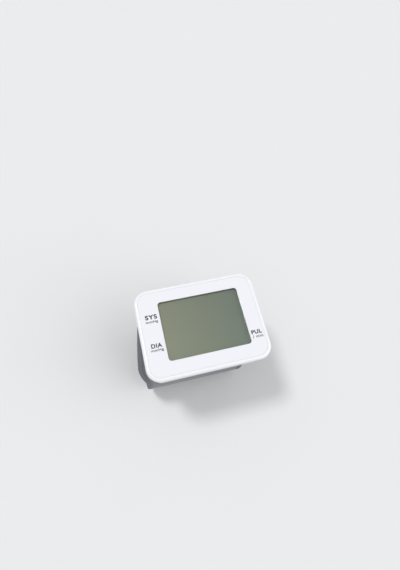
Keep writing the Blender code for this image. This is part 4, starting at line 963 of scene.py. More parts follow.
class MONITOR_OT_finishes(bpy.types.Operator):
    """Makes the shader groups and the materials of every piece"""
    bl_idname = "monitor.finishes"
    bl_label = "Materials"

    def execute(self, context):
        finishes = context.scene.monitor_finishes
        GROUPS.update({"grain": make_grain_group(), "tone": make_tone_group(),
                       "weave": make_weave_group(), "ribs": make_rib_group(),
                       "brushed": make_brushed_group()})
        plastic("gloss_white", finishes.shell_white, 0.24, grain=1400.0, depth=0.000002,
                other=0.985, Coat_Weight=0.15, Coat_Roughness=0.08)
        plastic("matt_white", finishes.rear_white, 0.46, grain=4200.0, depth=0.000010, other=0.95)
        plastic("panel_gloss", finishes.panel_white, 0.14, grain=900.0, depth=0.000001,
                other=0.99, spread=0.05, Coat_Weight=0.25, Coat_Roughness=0.05)
        plastic("label_ink", finishes.ink, 0.45, grain=5000.0, depth=0.000003,
                Specular_IOR_Level=0.2)
        plastic("button_slate", finishes.button, 0.38, grain=3600.0, depth=0.000006, other=0.85)
        plastic("black_plastic", (0.022, 0.022, 0.024), 0.45, other=0.7)
        plastic("grey_plastic", (0.36, 0.36, 0.38), 0.5, other=0.85)
        plastic("soft_rubber", (0.075, 0.075, 0.082), 0.75, grain=2600.0, depth=0.000008,
                other=0.8)
        plastic("silicone_tube", (0.70, 0.70, 0.67), 0.35, other=0.9, Transmission_Weight=0.15)
        plastic("battery_jacket", (0.06, 0.075, 0.10), 0.28, other=0.8)
        plastic("mark_white", (0.72, 0.74, 0.78), 0.5, grain=5000.0)
        plastic("pole_band", (0.45, 0.20, 0.055), 0.3, other=0.85)
        plastic("circuit_board", (0.012, 0.13, 0.055), 0.32, other=0.6, amount=0.8, patch=300.0)
        metal("plated_steel", (0.62, 0.62, 0.60), 0.28)
        metal("screw_steel", (0.40, 0.40, 0.40), 0.34)
        woven("cuff_cloth", finishes.cloth, 0.00042, 0.28, 0.8, 0.25)
        woven("lining_cloth", (0.085, 0.085, 0.105), 0.00055, 0.35, 0.7, 0.2)
        woven("hook_tape", (0.035, 0.035, 0.042), 0.0007, 0.4, 0.6, 0.1)
        ribbed("edge_tape", finishes.tape, 0.00055)
        ribbed("thread", (0.30, 0.295, 0.33), 0.0003)
        make_display_look(finishes)
        make_lens_look()
        return {"FINISHED"}


def make_floor(settings):
    """A pale floor, which isn't part of the object."""
    bpy.ops.mesh.primitive_grid_add(x_subdivisions=8, y_subdivisions=8, size=6.0)
    floor = label(bpy.context.object, "floor")
    tree, shader = new_look("pale_floor", Roughness=0.9, Specular_IOR_Level=0.1)
    toned = use_group(tree, "tone", Colour=opaque(settings.floor),
                      Other_Colour=opaque(settings.floor, 0.985), Amount=0.5, Patch_Scale=8.0)
    link_all(tree, shader, {"Base Color": toned.outputs["Colour"]})
    clad(floor, "pale_floor")


def make_world(settings):
    """Even light from all round; what is seen or mirrored has the floor's own tone."""
    world = bpy.data.worlds.new("studio")
    world.use_nodes = True
    bpy.context.scene.world = world
    tree = world.node_tree
    light = tree.nodes["Background"]
    light.inputs["Color"].default_value = (0.97, 0.985, 1.0, 1.0)
    light.inputs["Strength"].default_value = settings.sky
    seen = wire(tree, "ShaderNodeBackground",
                {"Color": (0.835, 0.840, 0.845, 1.0), "Strength": 1.0})
    rays = tree.nodes.new("ShaderNodeLightPath").outputs
    mirrored = maths(tree, "MAXIMUM", rays["Is Glossy Ray"], rays["Is Transmission Ray"])
    shown = maths(tree, "MAXIMUM", rays["Is Camera Ray"], mirrored)
    mixed = wire(tree, "ShaderNodeMixShader",
                 {0: shown, 1: light.outputs[0], 2: seen.outputs[0]})
    link_all(tree, tree.nodes["World Output"], {"Surface": mixed.outputs[0]})


def add_sun(name, place, spread, strength):
    """A soft sun that shines from a place towards the origin."""
    deselect()
    bpy.ops.object.light_add(type="SUN", location=place)
    lamp = bpy.context.object
    lamp.name = name
    lamp.data.angle = math.radians(spread)
    lamp.data.energy = strength
    lamp.rotation_euler = (-Vector(place)).to_track_quat("-Z", "Y").to_euler()


class MONITOR_OT_stage(bpy.types.Operator):
    """Makes the floor, the lamps, the world and the camera"""
    bl_idname = "monitor.stage"
    bl_label = "Stage"

    def execute(self, context):
        settings = context.scene.monitor_stage
        deselect()
        make_floor(settings)
        make_world(settings)
        add_sun("key_sun", (-0.29, 0.27, 0.81), 12.0, settings.key_strength)
        add_sun("fill_sun", (0.60, -0.30, 0.55), 60.0, settings.fill_strength)
        deselect()
        bpy.ops.object.camera_add()
        camera = context.object
        camera.name = "photo_camera"
        camera.data.lens = settings.lens
        camera.data.sensor_width = 36.0
        camera.data.clip_start = 0.01
        spot = Matrix.Translation((-0.0384377, -0.0742997, FACE_Z + 0.2499358))
        turn = Matrix(((0.96902, 0.18768, -0.16053), (-0.23577, 0.89653, -0.37503),
                       (0.07354, 0.40126, 0.91301)))
        camera.matrix_world = spot @ turn.to_4x4()
        context.scene.camera = camera
        context.scene.view_settings.view_transform = "Standard"
        return {"FINISHED"}


def lean_in(piece, corner_radius, lean_at):
    """Leans the side towards the user inwards, by lean_at(z), and eases off round the corners."""
    bend = (FRONT_HIGH.x - corner_radius, FRONT_HIGH.y - corner_radius)
    for vertex in piece.data.vertices:
        spot = vertex.co
        if spot.y < -bend[1]:
            out = Vector((max(0.0, abs(spot.x) - bend[0]), -spot.y - bend[1])).normalized()
            lean = lean_at(spot.z) * out.y ** 2
            spot.x -= math.copysign(out.x * lean, spot.x)
            spot.y += out.y * lean


class MONITOR_OT_front_shell(bpy.types.Operator):
    """Models the front shell with its rounded rim, panel recess and button openings"""
    bl_idname = "monitor.front_shell"
    bl_label = "Front shell"

    def execute(self, context):
        sizes = context.scene.monitor_housing
        lap = sizes.gap
        shell = block("front_shell_moulding", FRONT_LOW, FRONT_HIGH, sizes.corner_radius, steps=20)
        bevel(shell, at_level(2, FACE_Z), sizes.rim_radius, 9)
        wall_top = FACE_Z - sizes.rim_radius
        wall_height = wall_top - FRONT_LOW.z
        lean_in(shell, sizes.corner_radius,
                lambda z: sizes.front_lean * max(0.0, wall_top - z) / wall_height)
        edit(shell)
        pick(shell, "FACE", flat_at(FACE_Z, 1, 0.9999))
        bpy.ops.mesh.inset(thickness=sizes.rim_width - sizes.rim_radius)
        push(0, 0, -sizes.panel_floor)
        pick(shell, "FACE", flat_at(FRONT_LOW.z, -1))
        bpy.ops.mesh.inset(thickness=sizes.wall)
        push(0, 0, FACE_Z - sizes.front_ceiling - FRONT_LOW.z)
        leave()
        carve(shell, block("window_cut", (LENS_LOW.x - lap, LENS_LOW.y - lap, FRONT_LOW.z),
                           (LENS_HIGH.x + lap, LENS_HIGH.y + lap, FACE_Z + lap),
                           sizes.lens_corner + lap))
        for name in BUTTONS:
            low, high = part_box(name)
            side = sizes.flange - lap
            carve(shell, block(
                "notch_cut", (low.x + side, FRONT_HIGH.y - 2 * sizes.wall, FRONT_LOW.z - 3 * MM),
                (high.x - side, FRONT_HIGH.y + MM, high.z + lap), sizes.notch_corner, "Y", 8))
        for name in SCREWS:
            centre, top = plan_centre(name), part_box(name)[1].z
            carve(shell, round_bar("post", centre, sizes.post_radius, FRONT_LOW.z,
                                   FACE_Z - sizes.front_ceiling + MM), "UNION")
            carve(shell, round_bar("pilot", centre, sizes.shank_radius + lap,
                                   FRONT_LOW.z - MM, top + lap))
        soften(shell, sizes.rim_edge)
        even_shading(shell)
        dress(shell, "gloss_white", "housing", "white_gloss", "front_shell")
        return {"FINISHED"}


class MONITOR_OT_face_panel(bpy.types.Operator):
    """Models the glossy face panel round the display window"""
    bl_idname = "monitor.face_panel"
    bl_label = "Face panel"

    def execute(self, context):
        sizes = context.scene.monitor_housing
        grown = Vector((sizes.panel_reach, sizes.panel_reach, 0.0))
        corner = sizes.corner_radius - sizes.rim_width - sizes.gap + sizes.panel_reach
        panel = block("face_panel_sheet", PANEL_LOW - grown, PANEL_HIGH + grown, corner, steps=16)
        lap = Vector((sizes.window_lap, sizes.window_lap, 0.0))
        low, high = LENS_LOW + lap, LENS_HIGH - lap
        carve(panel, block("window_opening", (low.x, low.y, PANEL_LOW.z - MM),
                           (high.x, high.y, PANEL_HIGH.z + MM), sizes.window_corner, steps=10))
        soften(panel, sizes.panel_edge)
        even_shading(panel)
        dress(panel, "panel_gloss", "housing", "face_print", "face_panel")
        return {"FINISHED"}


class MONITOR_OT_display(bpy.types.Operator):
    """Models the clear lens and the liquid crystal display under it"""
    bl_idname = "monitor.display"
    bl_label = "Display"

    def execute(self, context):
        sizes = context.scene.monitor_housing
        lens = block("window_lens", LENS_LOW, LENS_HIGH, sizes.lens_corner, steps=6)
        soften(lens, sizes.rim_edge)
        even_shading(lens)
        dress(lens, "clear_lens", "housing", "clear_window", "display_window")
        glass_corner, film_corner, film_inset, edge = 0.6 * MM, 0.8 * MM, 0.4 * MM, 0.04 * MM
        glass_top = LCD_HIGH.z - sizes.polariser
        glass = block("display_cell", LCD_LOW, LCD_HIGH - Vector((0, 0, sizes.polariser)),
                      glass_corner, steps=4)
        film = block("display_film", (LCD_LOW.x + film_inset, LCD_LOW.y + film_inset,
                                      glass_top - film_inset / 4),
                     (LCD_HIGH.x - film_inset, LCD_HIGH.y - film_inset, LCD_HIGH.z),
                     film_corner, steps=4)
        cell = join([glass, film], "display_cell")
        soften(cell, edge, segments=1)
        even_shading(cell)
        dress(cell, "display_glass", "housing", "display_glass", "lcd_panel")
        return {"FINISHED"}


def print_label(words, low, high, level, sizes, boldness):
    """Text made into a thin printed mesh that fills a box on the face."""
    flat_angle = 0.5
    deselect()
    bpy.ops.object.text_add()
    text = bpy.context.object.data
    text.body = words
    text.extrude = sizes.thickness / 2
    text.offset = boldness
    text.space_character = sizes.tracking
    text.resolution_u = 4
    bpy.ops.object.convert(target="MESH")
    made = bpy.context.object
    places = [vertex.co for vertex in made.data.vertices]
    base, top = (Vector([limit(place[axis] for place in places) for axis in range(3)])
                 for limit in (min, max))
    gain = sizes.stroke_gain
    made.scale = ((high[0] - low[0] - gain) / (top.x - base.x),
                  (high[1] - low[1] - gain) / (top.y - base.y), 1.0)
    made.location = (low[0] - base.x * made.scale.x, low[1] - base.y * made.scale.y,
                     level - base.z)
    settle()
    close_seams(made, 0.002 * MM)
    dissolve(made, flat_angle)
    for step in ((gain, 0.0, 0.0), (0.0, gain, 0.0)):
        shifted = twin(made)
        shifted.data.transform(Matrix.Translation(step))
        carve(made, shifted, "UNION")
        dissolve(made, flat_angle)
    return made


class MONITOR_OT_labels(bpy.types.Operator):
    """Prints the names and units of the three readings on the face panel"""
    bl_idname = "monitor.labels"
    bl_label = "Labels"

    def execute(self, context):
        sizes = context.scene.monitor_print
        for name, title, title_box, unit, unit_box in LABELS:
            parts = []
            for words, box, boldness in ((title, title_box, sizes.title_boldness),
                                         (unit, unit_box, 0.0)):
                left, bottom, right, top = (value * MM for value in box)
                parts.append(print_label(words, (left, bottom), (right, top), PANEL_HIGH.z,
                                         sizes, boldness))
            dress(join(parts, name), "label_ink", "housing", "face_print")
        return {"FINISHED"}


def rear_solid(name, sizes, inset=0.0):
    """The rear shell's outline as a solid, or its hollow: straight, drawn in, then rounded."""
    edge = 1.2 * MM if inset else sizes.rear_radius
    straight = FACE_Z - REAR_HIGH.z + sizes.rear_straight
    edge_start = FACE_Z - REAR_LOW.z - inset - edge
    low = (REAR_LOW.x + inset, REAR_LOW.y + inset, FACE_Z - straight)
    high = (-REAR_LOW.x - inset, -REAR_LOW.y - inset, REAR_HIGH.z + (MM if inset else 0.0))
    made = block(name, low, high, sizes.corner_radius - sizes.rear_step - inset, steps=16)
    edit(made)
    pick(made, "FACE", faces_along(2, -1))
    bpy.ops.mesh.inset(thickness=sizes.rear_taper, depth=edge_start - straight)
    steps = 6
    for k in range(steps):
        first, then = (math.pi / 2 * turn / steps for turn in (k, k + 1))
        bpy.ops.mesh.inset(thickness=edge * (math.cos(first) - math.cos(then)),
                           depth=edge * (math.sin(then) - math.sin(first)))
    leave()
    return made


def loop_bar(name, loop, depth, steps=160):
    """A bar along X with the cuff loop's own section, its surface at a depth from the loop's."""
    radius, half_length = 0.03, 0.05
    bar = round_bar(name, (0.0, 0.0), radius, -half_length, half_length, "X", steps)
    turn = 2 * math.pi / steps
    for vertex in bar.data.vertices:
        angle = round(math.atan2(vertex.co.y, vertex.co.z) / turn) * turn
        vertex.co = loop.place(-loop.length * angle / (2 * math.pi), vertex.co.x, depth)
    return bar


class MONITOR_OT_rear_shell(bpy.types.Operator):
    """Models the rear shell: tapered sides, saddle for the cuff, battery bay and screw holes"""
    bl_idname = "monitor.rear_shell"
    bl_label = "Rear shell"

    def execute(self, context):
        sizes = context.scene.monitor_housing
        loop = Loop(context.scene.monitor_cuff)
        lap, thin = sizes.gap, sizes.bay_wall
        under, over = REAR_LOW.z - MM, REAR_HIGH.z + MM
        edge_round = 0.14 * MM
        shell = rear_solid("rear_shell_moulding", sizes)
        back = REAR_LOW.z + sizes.rear_radius
        lean_in(shell, sizes.corner_radius, lambda z: sizes.back_lean + max(0.0, z - back)
                / (REAR_HIGH.z - back) * (sizes.front_lean - sizes.back_lean))
        carve(shell, loop_bar("saddle_cut", loop, -lap))
        cavity = rear_solid("cavity_core", sizes, sizes.wall)
        carve(cavity, loop_bar("saddle_core", loop, -lap - sizes.wall))
        bay_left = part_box("battery_inner")[0].x - lap
        bay_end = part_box("battery_plus_contact")[0].y - lap
        carve(cavity, block("bay_side", (bay_left - thin, bay_end - thin, under),
                            (bay_left, thin - bay_end, REAR_HIGH.z)))
        for side in (-1, 1):
            close, far = sorted((side * -bay_end, side * (thin - bay_end)))
            carve(cavity, block("bay_end", (bay_left - thin / 2, close, under),
                                (FRONT_HIGH.x, far, REAR_HIGH.z)))
        for name in SCREWS:
            carve(cavity, round_bar("post", plan_centre(name), sizes.post_radius, under,
                                    REAR_HIGH.z))
        carve(shell, cavity)
        for name in SCREWS:
            centre, low = plan_centre(name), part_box(name)[0].z
            carve(shell, round_bar("shank_hole", centre, sizes.shank_radius + lap, low, over))
            carve(shell, round_bar("head_hole", centre, sizes.head_radius + lap, under,
                                   low + sizes.screw_head + lap, steps=40))
        door_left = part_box("battery_outer")[0].x + sizes.cell_radius - lap
        carve(shell, block("door_cut", (door_left, DOOR_LOW.y - lap, DOOR_LOW.z - lap),
                           (FRONT_HIGH.x + MM, DOOR_HIGH.y + lap, over)))
        low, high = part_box("cuff_nipple")
        carve(shell, round_bar("nipple_hole", ((low.x + high.x) / 2, 0.0),
                               (high.x - low.x) / 2 + lap, low.z - lap, high.z + MM))
        soften(shell, edge_round, segments=1)
        even_shading(shell)
        dress(shell, "matt_white", "housing", "white_matte", "rear_shell")
        return {"FINISHED"}


class MONITOR_OT_battery_door(bpy.types.Operator):
    """Models the battery door with its latch tab, grip ribs and sliding mark"""
    bl_idname = "monitor.battery_door"
    bl_label = "Battery door"

    def execute(self, context):
        sizes = context.scene.monitor_housing
        straight = FACE_Z - REAR_HIGH.z + sizes.rear_straight
        fall = FACE_Z - REAR_LOW.z - sizes.rear_radius - straight
        slope = math.atan(sizes.rear_taper / fall)
        centre_z = (DOOR_LOW.z + DOOR_HIGH.z) / 2

        def face_x(z):
            """X of the door's sloping outer face at a level."""
            return DOOR_HIGH.x - max(0.0, FACE_Z - straight - z) * math.tan(slope)
        face = face_x(centre_z)
        door = rear_solid("battery_door_moulding", sizes)
        hollow = rear_solid("door_core", sizes, sizes.wall)
        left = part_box("battery_outer")[0].x + sizes.cell_radius
        carve(door, block("door_edges", (left, DOOR_LOW.y, DOOR_LOW.z),
                          (FRONT_HIGH.x + MM, DOOR_HIGH.y, DOOR_HIGH.z), 0.8 * MM, "X", 5),
              "INTERSECT")
        carve(door, hollow)
        rib_sunk, rib_proud, rib_half_width, grip_half = 0.5 * MM, 0.35 * MM, 0.35 * MM, 2.6 * MM
        edge_round = 0.12 * MM
        for side in (-1, 1):
            for k in range(6):
                y = side * (9.0 + 1.5 * k) * MM
                rib = block("grip_rib", (face - rib_sunk, y - rib_half_width, centre_z - grip_half),
                            (face + rib_proud, y + rib_half_width, centre_z + grip_half),
                            0.3 * MM, "X", 4)
                edit(rib, "SELECT")
                bpy.ops.transform.rotate(value=-slope, orient_axis="Y",
                                         center_override=(face, y, centre_z))
                leave()
                carve(door, rib, "UNION")
        # The latch tab's two side slots and its lower slot: low and high y, low and high z, in mm
        for left, right, bottom, top in ((-5.2, -4.8, -3.6, 4.2), (4.8, 5.2, -3.6, 4.2),
                                         (-5.2, 5.2, -3.9, -3.5)):
            carve(door, block("latch_slot", (face_x(DOOR_LOW.z) - 0.7 * MM, left * MM,
                                             centre_z + bottom * MM),
                              (DOOR_HIGH.x + MM, right * MM, centre_z + top * MM)))
        carve(door, block("latch_lip", (face - 0.9 * MM, -3.6 * MM, centre_z - grip_half),
                          (face + 0.30 * MM, 3.6 * MM, centre_z - 1.4 * MM), 0.5 * MM, "X", 4),
              "UNION")
        deselect()
        mark_z = centre_z + 1.2 * MM
        bpy.ops.mesh.primitive_cylinder_add(vertices=3, radius=1.5 * MM, depth=1.0 * MM,
                                            location=(face_x(mark_z) - 0.25 * MM, 0.0, mark_z),
                                            rotation=(-math.pi / 2, 0.0, -math.pi / 2))
        carve(door, settle(), "UNION")
        soften(door, edge_round, segments=1)
        even_shading(door)
        dress(door, "matt_white", "battery_door", "white_matte", "battery_door")
        return {"FINISHED"}


class MONITOR_OT_buttons(bpy.types.Operator):
    """Models the two push buttons with their flanges, rods and printed marks"""
    bl_idname = "monitor.buttons"
    bl_label = "Buttons"

    def execute(self, context):
        sizes = context.scene.monitor_housing
        flange_depth, rod_half_width, cap_round = 1.1 * MM, 1.5 * MM, 0.55 * MM
        outer = FRONT_HIGH.y - sizes.wall - sizes.gap
        for name in BUTTONS:
            low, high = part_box(name)
            stem_low, stem_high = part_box(name.split("_")[0] + "_switch_stem")
            x = (low.x + high.x) / 2
            cap = block(name + "_cap", (low.x + sizes.flange, outer - MM, low.z),
                        (high.x - sizes.flange, high.y, high.z), sizes.notch_corner, "Y", 8)
            bevel(cap, at_level(1, high.y), cap_round, 5)
            flange = block("flange", (low.x, outer - flange_depth, low.z),
                           (high.x, outer, high.z), sizes.notch_corner, "Y", 8)
            rod = block("rod", (x - rod_half_width, low.y, stem_low.z),
                        (x + rod_half_width, outer - 0.5 * MM, stem_high.z), 0.25 * MM, "Y", 3)
            carve(cap, flange, "UNION")
            carve(cap, rod, "UNION")
            even_shading(cap)
            dress(cap, "button_slate", name, "button_plastic", name)
            spot = Vector((x, high.y, (low.z + high.z) / 2))
            if name == "start_button":
                mark = power_mark(spot)
            else:
                mark = memory_mark(spot, context.scene.monitor_print)
            dress(mark, "mark_white", name, "button_plastic")
        return {"FINISHED"}


def power_mark(centre):
    """A ring with a gap and a bar, printed on a button's outer face."""
    radius, stroke, gap_half_width = 0.95 * MM, 0.14 * MM, 0.38 * MM
    bar_low, bar_high, sunk, proud = 0.1 * MM, 1.25 * MM, -0.05 * MM, 0.03 * MM
    deselect()
    bpy.ops.mesh.primitive_torus_add(major_segments=40, minor_segments=8, major_radius=radius,
                                     minor_radius=stroke, location=centre,
                                     rotation=(math.pi / 2, 0, 0))
    ring = settle()
    carve(ring, block("ring_gap", centre + Vector((-gap_half_width, -MM, 0)),
                      centre + Vector((gap_half_width, MM, 2 * MM))))
    bar = block("bar", centre + Vector((-stroke, -stroke, bar_low)),
                centre + Vector((stroke, stroke, bar_high)), 0.12 * MM, steps=3)
    mark = join([ring, bar], "power_mark")
    for vertex in mark.data.vertices:
        vertex.co.y = centre.y + max(sunk, min(proud, vertex.co.y - centre.y))
    smooth(mark)
    return mark


def memory_mark(centre, sizes):
    """A plain letter for memory, printed on a button's outer face."""
    half_width, half_height = 1.1 * MM, 1.0 * MM
    letter = label(print_label("M", (-half_width, -half_height), (half_width, half_height), 0.0,
                               sizes, 0.0), "memory_mark")
    activate(letter)
    letter.rotation_euler = (math.pi / 2, 0.0, math.pi)
    letter.location = centre
    return settle()


class MONITOR_OT_screws(bpy.types.Operator):
    """Models one cross-head case screw and copies it to its four places"""
    bl_idname = "monitor.screws"
    bl_label = "Case screws"

    def execute(self, context):
        sizes = context.scene.monitor_housing
        low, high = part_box(SCREWS[0])
        length = high.z - low.z
        cross_reach, cross_half_width, cross_depth = 1.15 * MM, 0.24 * MM, 0.85 * MM
        core_radius, ridge_radius = sizes.shank_radius * 0.8, sizes.shank_radius * 0.78
        head = round_bar("screw_model", (0.0, 0.0), sizes.head_radius, 0.0, sizes.screw_head)
        bevel(head, at_level(2, 0.0), 0.7 * MM, 5)
        for turn in (0.0, math.pi / 2):
            bar = block("cross", (-cross_reach, -cross_half_width, -MM),
                        (cross_reach, cross_half_width, cross_depth))
            activate(bar)
            bar.rotation_euler = (0.0, 0.0, turn + math.pi / 7)
            carve(head, settle())
        shank = round_bar("shank", (0.0, 0.0), core_radius, sizes.screw_head - 0.2 * MM, length,
                          steps=16)
        deselect()
        bpy.ops.mesh.primitive_torus_add(major_segments=16, minor_segments=4,
                                         major_radius=ridge_radius, minor_radius=0.2 * MM)
        ridge = context.object
        threads = []
        turns = 9
        rise = length - sizes.screw_head
        for k in range(turns):
            thread = twin(ridge)
            for vertex in thread.data.vertices:
                part = math.atan2(vertex.co.y, vertex.co.x) / (2 * math.pi)
                vertex.co.z += sizes.screw_head + (k + 0.8 + part) * rise / (turns + 1)
            threads.append(thread)
        bpy.data.objects.remove(ridge)
        model = join([head, shank, *threads], "screw_model")
        smooth(model)
        for name in SCREWS:
            screw = label(twin(model), name + "_cross_head")
            place = Matrix.Translation((*plan_centre(name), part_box(name)[0].z))
            screw.data.transform(place)
            dress(screw, "screw_steel", "housing", "plated_steel", name)
        bpy.data.objects.remove(model)
        return {"FINISHED"}


class MONITOR_OT_cells(bpy.types.Operator):
    """Models the two cells with jackets, end caps and pole marks"""
    bl_idname = "monitor.cells"
    bl_label = "Cells"

    def execute(self, context):
        sizes = context.scene.monitor_housing
        nub, nub_radius, pole_radius = 0.8 * MM, 1.9 * MM, 4.3 * MM
        for name, way in (("battery_inner", 1), ("battery_outer", -1)):
            low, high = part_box(name)
            centre = ((low.x + high.x) / 2, (low.z + high.z) / 2)
            ends = (low.y + (nub if way < 0 else 0.0), high.y - (nub if way > 0 else 0.0))
            minus_end, plus_end = ends[::way]

            def bar(title, radius, end, first, last, steps, **settings):
                """A round bar along the cell, between two distances from one of its ends."""
                levels = sorted((end + way * first, end + way * last))
                return round_bar(title, centre, radius, *levels, "Y", steps, **settings)
            jacket = round_bar(name + "_jacket", centre, sizes.cell_radius, *ends, "Y", 40)
            tests = [at_level(1, end) for end in ends]
            bevel(jacket, lambda e: any(test(e) for test in tests), 0.5 * MM, 4)
            edit(jacket)
            pick(jacket, "FACE", faces_along(1))
            bpy.ops.mesh.inset(thickness=0.35 * MM, depth=-0.15 * MM)
            leave()
            smooth(jacket)
            dress(jacket, "battery_jacket", "housing", "cell_jacket", name)
            cap = bar("nub", nub_radius, plus_end, -0.6 * MM, nub, 24)
            soften(cap, 0.3 * MM, segments=3)
            plate = bar("plate", pole_radius, minus_end, 0.12 * MM, 0.02 * MM, 32)
            rim = bar("rim", pole_radius, plus_end, -0.12 * MM, -0.02 * MM, 32)
            poles = join([cap, plate, rim], name + "_poles")
            smooth(poles)
            dress(poles, "plated_steel", "housing", "plated_steel")
            band = bar(name + "_band", sizes.cell_radius + 0.03 * MM, plus_end, -9.0 * MM,
                       -1.2 * MM, 40, end_fill_type="NOTHING")
            thicken(band, 0.04 * MM)
            smooth(band)
            dress(band, "pole_band", "housing", "cell_jacket")
        return {"FINISHED"}


class MONITOR_OT_cuff_cloth(bpy.types.Operator):
    """Lays the cuff's outer cloth and its lining round the loop, with puckers and folds"""
    bl_idname = "monitor.cuff_cloth"
    bl_label = "Cuff cloth"

    def execute(self, context):
        sizes = context.scene.monitor_cuff
        loop = Loop(sizes)
        tuck = sizes.tape_tuck
        rows, bounds = band_rows(loop.start + tuck, loop.end - tuck, sizes.corner_radius - tuck,
                                 loop.edges(tuck), sizes.row_spacing)
        leaf = sizes.tape_width - tuck

        def cover_depth(s, x, distance):
            """Depth of the outer cloth: pressed down under the tape, puckered beside it."""
            under = 1.0 - ease(distance, leaf - 0.6 * MM, leaf + 2.6 * MM)
            fading = math.exp(-distance / (5 * MM))
            pucker = ripple(s / (3.2 * MM), x / (9 * MM)) * 0.16 * MM * fading
            slack = (ripple(s / (14 * MM), x / (17 * MM), 3.0) + 1.0) * 0.12 * MM
            return (sizes.cover_thickness / 2 + 0.62 * MM * under + max(0.0, pucker)
                    + slack * (1 - under))

        def lining_depth(s, x, distance):
            """Depth of the lining: lifted over the bladder, folded where the loop is tight."""
            field = ease(distance, leaf - 0.6 * MM, leaf + 3.5 * MM)
            pillow = ease(distance, 6.5 * MM, 14.0 * MM) * 0.5 * MM
            deepness = (0.10 + 0.42 * loop.tightness(s)) * MM
            fold = ripple(s / (2.6 * MM), x / (26 * MM), 5.0) * deepness
            slack = ripple(s / (11 * MM), x / (13 * MM), 8.0) * 0.2 * MM
            return (sizes.wall - sizes.lining_thickness / 2 - 0.5 * MM
                    + field * (0.45 * MM + fold + slack) + pillow)
        cover = lay_band("cuff_outer_cloth", loop, rows, bounds, sizes.columns, cover_depth,
                         sizes.cover_thickness)
        smooth(cover)
        dress(cover, "cuff_cloth", "housing", "cuff_cloth", "cuff_cover")
        lining = lay_band("cuff_inner_lining", loop, rows, bounds, sizes.columns, lining_depth,
                          sizes.lining_thickness)
        smooth(lining)
        dress(lining, "lining_cloth", "housing", "lining_cloth", "cuff_lining")
        return {"FINISHED"}


class MONITOR_OT_bladder(bpy.types.Operator):
    """Models the welded air bladder inside the cuff as a soft pillow"""
    bl_idname = "monitor.bladder"
    bl_label = "Air bladder"

    def execute(self, context):
        sizes = context.scene.monitor_cuff
        loop = Loop(sizes)
        inset = sizes.bladder_inset
        start, end = loop.start + 2 * inset, loop.end - 2 * inset
        columns, depth = 36, 3.5 * MM
        rows, bounds = band_rows(start, end, sizes.corner_radius, loop.edges(inset), 2.4 * MM)
        bladder = lay_band("welded_bladder", loop, rows, bounds, columns, lambda s, x, d: depth,
                           1.0 * MM)
        half = len(bladder.data.vertices) // 2
        for index, vertex in enumerate(bladder.data.vertices):
            turn, step = divmod(index % half, len(rows))
            low, high = bounds[step]
            x = low + (high - low) * turn / (columns - 1)
            s = rows[step]
            distance = min(x - low, high - x, s - start, end - s)
            thick = (0.18 + 0.7 * ease(distance, 2.0 * MM, 9.0 * MM)) * MM
            core = loop.place(s, x, depth)
            outward = (loop.place(s, x, 0.0) - core).normalized()
            side = 1.0 if (vertex.co - core).dot(outward) > 0 else -1.0
            vertex.co = core + outward * side * thick
        smooth(bladder)
        dress(bladder, "soft_rubber", "housing", "soft_rubber", "air_bladder")
        return {"FINISHED"}


def round_fold(width, outer, inner, reach, power=2.4, steps=10):
    """Section of a folded edge: a leaf, the fold round the edge, and the other leaf."""
    centre = (outer + inner) / 2
    half = (inner - outer) / 2
    line = [(width, outer), ((width + reach) / 2, outer)]
    for k in range(steps + 1):
        angle = math.pi / 2 * (1 - 2 * k / steps)
        across = abs(math.cos(angle)) ** (2 / power)
        along = math.copysign(abs(math.sin(angle)) ** (2 / power), math.sin(angle))
        line.append((reach * (1 - across), centre - half * along))
    return line + [((width + reach) / 2, inner), (width, inner)]


class MONITOR_OT_cuff_tape(bpy.types.Operator):
    """Folds the edge tape round the cuff and sews it with thread on both faces"""
    bl_idname = "monitor.cuff_tape"
    bl_label = "Cuff tape"

    def execute(self, context):
        sizes = context.scene.monitor_cuff
        loop = Loop(sizes)
        rows, bounds = band_rows(loop.start, loop.end, sizes.corner_radius, loop.edges(0.0),
                                 sizes.row_spacing)
        path = even_path(outline(rows, bounds), 1.0 * MM, True)
        total = path[-1][0]
        half = sizes.tape_thickness / 2
        fold = round_fold(sizes.tape_width, 0.08 * MM + half, sizes.wall - half, 1.5 * MM)
        dips = [0.0] * len(fold)
        dips[1:3], dips[-3:-1] = [0.14 * MM] * 2, [-0.14 * MM] * 2

        def profile(s, along):
            """The tape's fold, dented where it is sewn and uneven along the edge."""
            turn = 2 * math.pi * along / total
            waves = total / (60 * MM)
            off = ripple(math.cos(turn) * waves, math.sin(turn) * waves, 1.0) * 0.10 * MM
            return [(distance + (half if distance < 0.4 * MM else 0.0) + off, depth + dip)
                    for (distance, depth), dip in zip(fold, dips)]
        tape = lay_tape("cuff_binding_tape", loop, path, profile, sizes.tape_thickness, True)
        smooth(tape, FOLD_ANGLE)
        dress(tape, "edge_tape", "housing", "edge_tape", "cuff_binding")
        sewn, sunk = sizes.tape_width * 0.72, 0.16 * MM
        for name, depth in (("cuff_outer_stitches", sunk),
                            ("cuff_inner_stitches", sizes.wall - sunk)):
            row = stitch_row(name, loop, path, sewn, lambda s, level=depth: level, sizes)
            smooth(row)
            dress(row, "thread", "housing", "edge_tape")
        return {"FINISHED"}


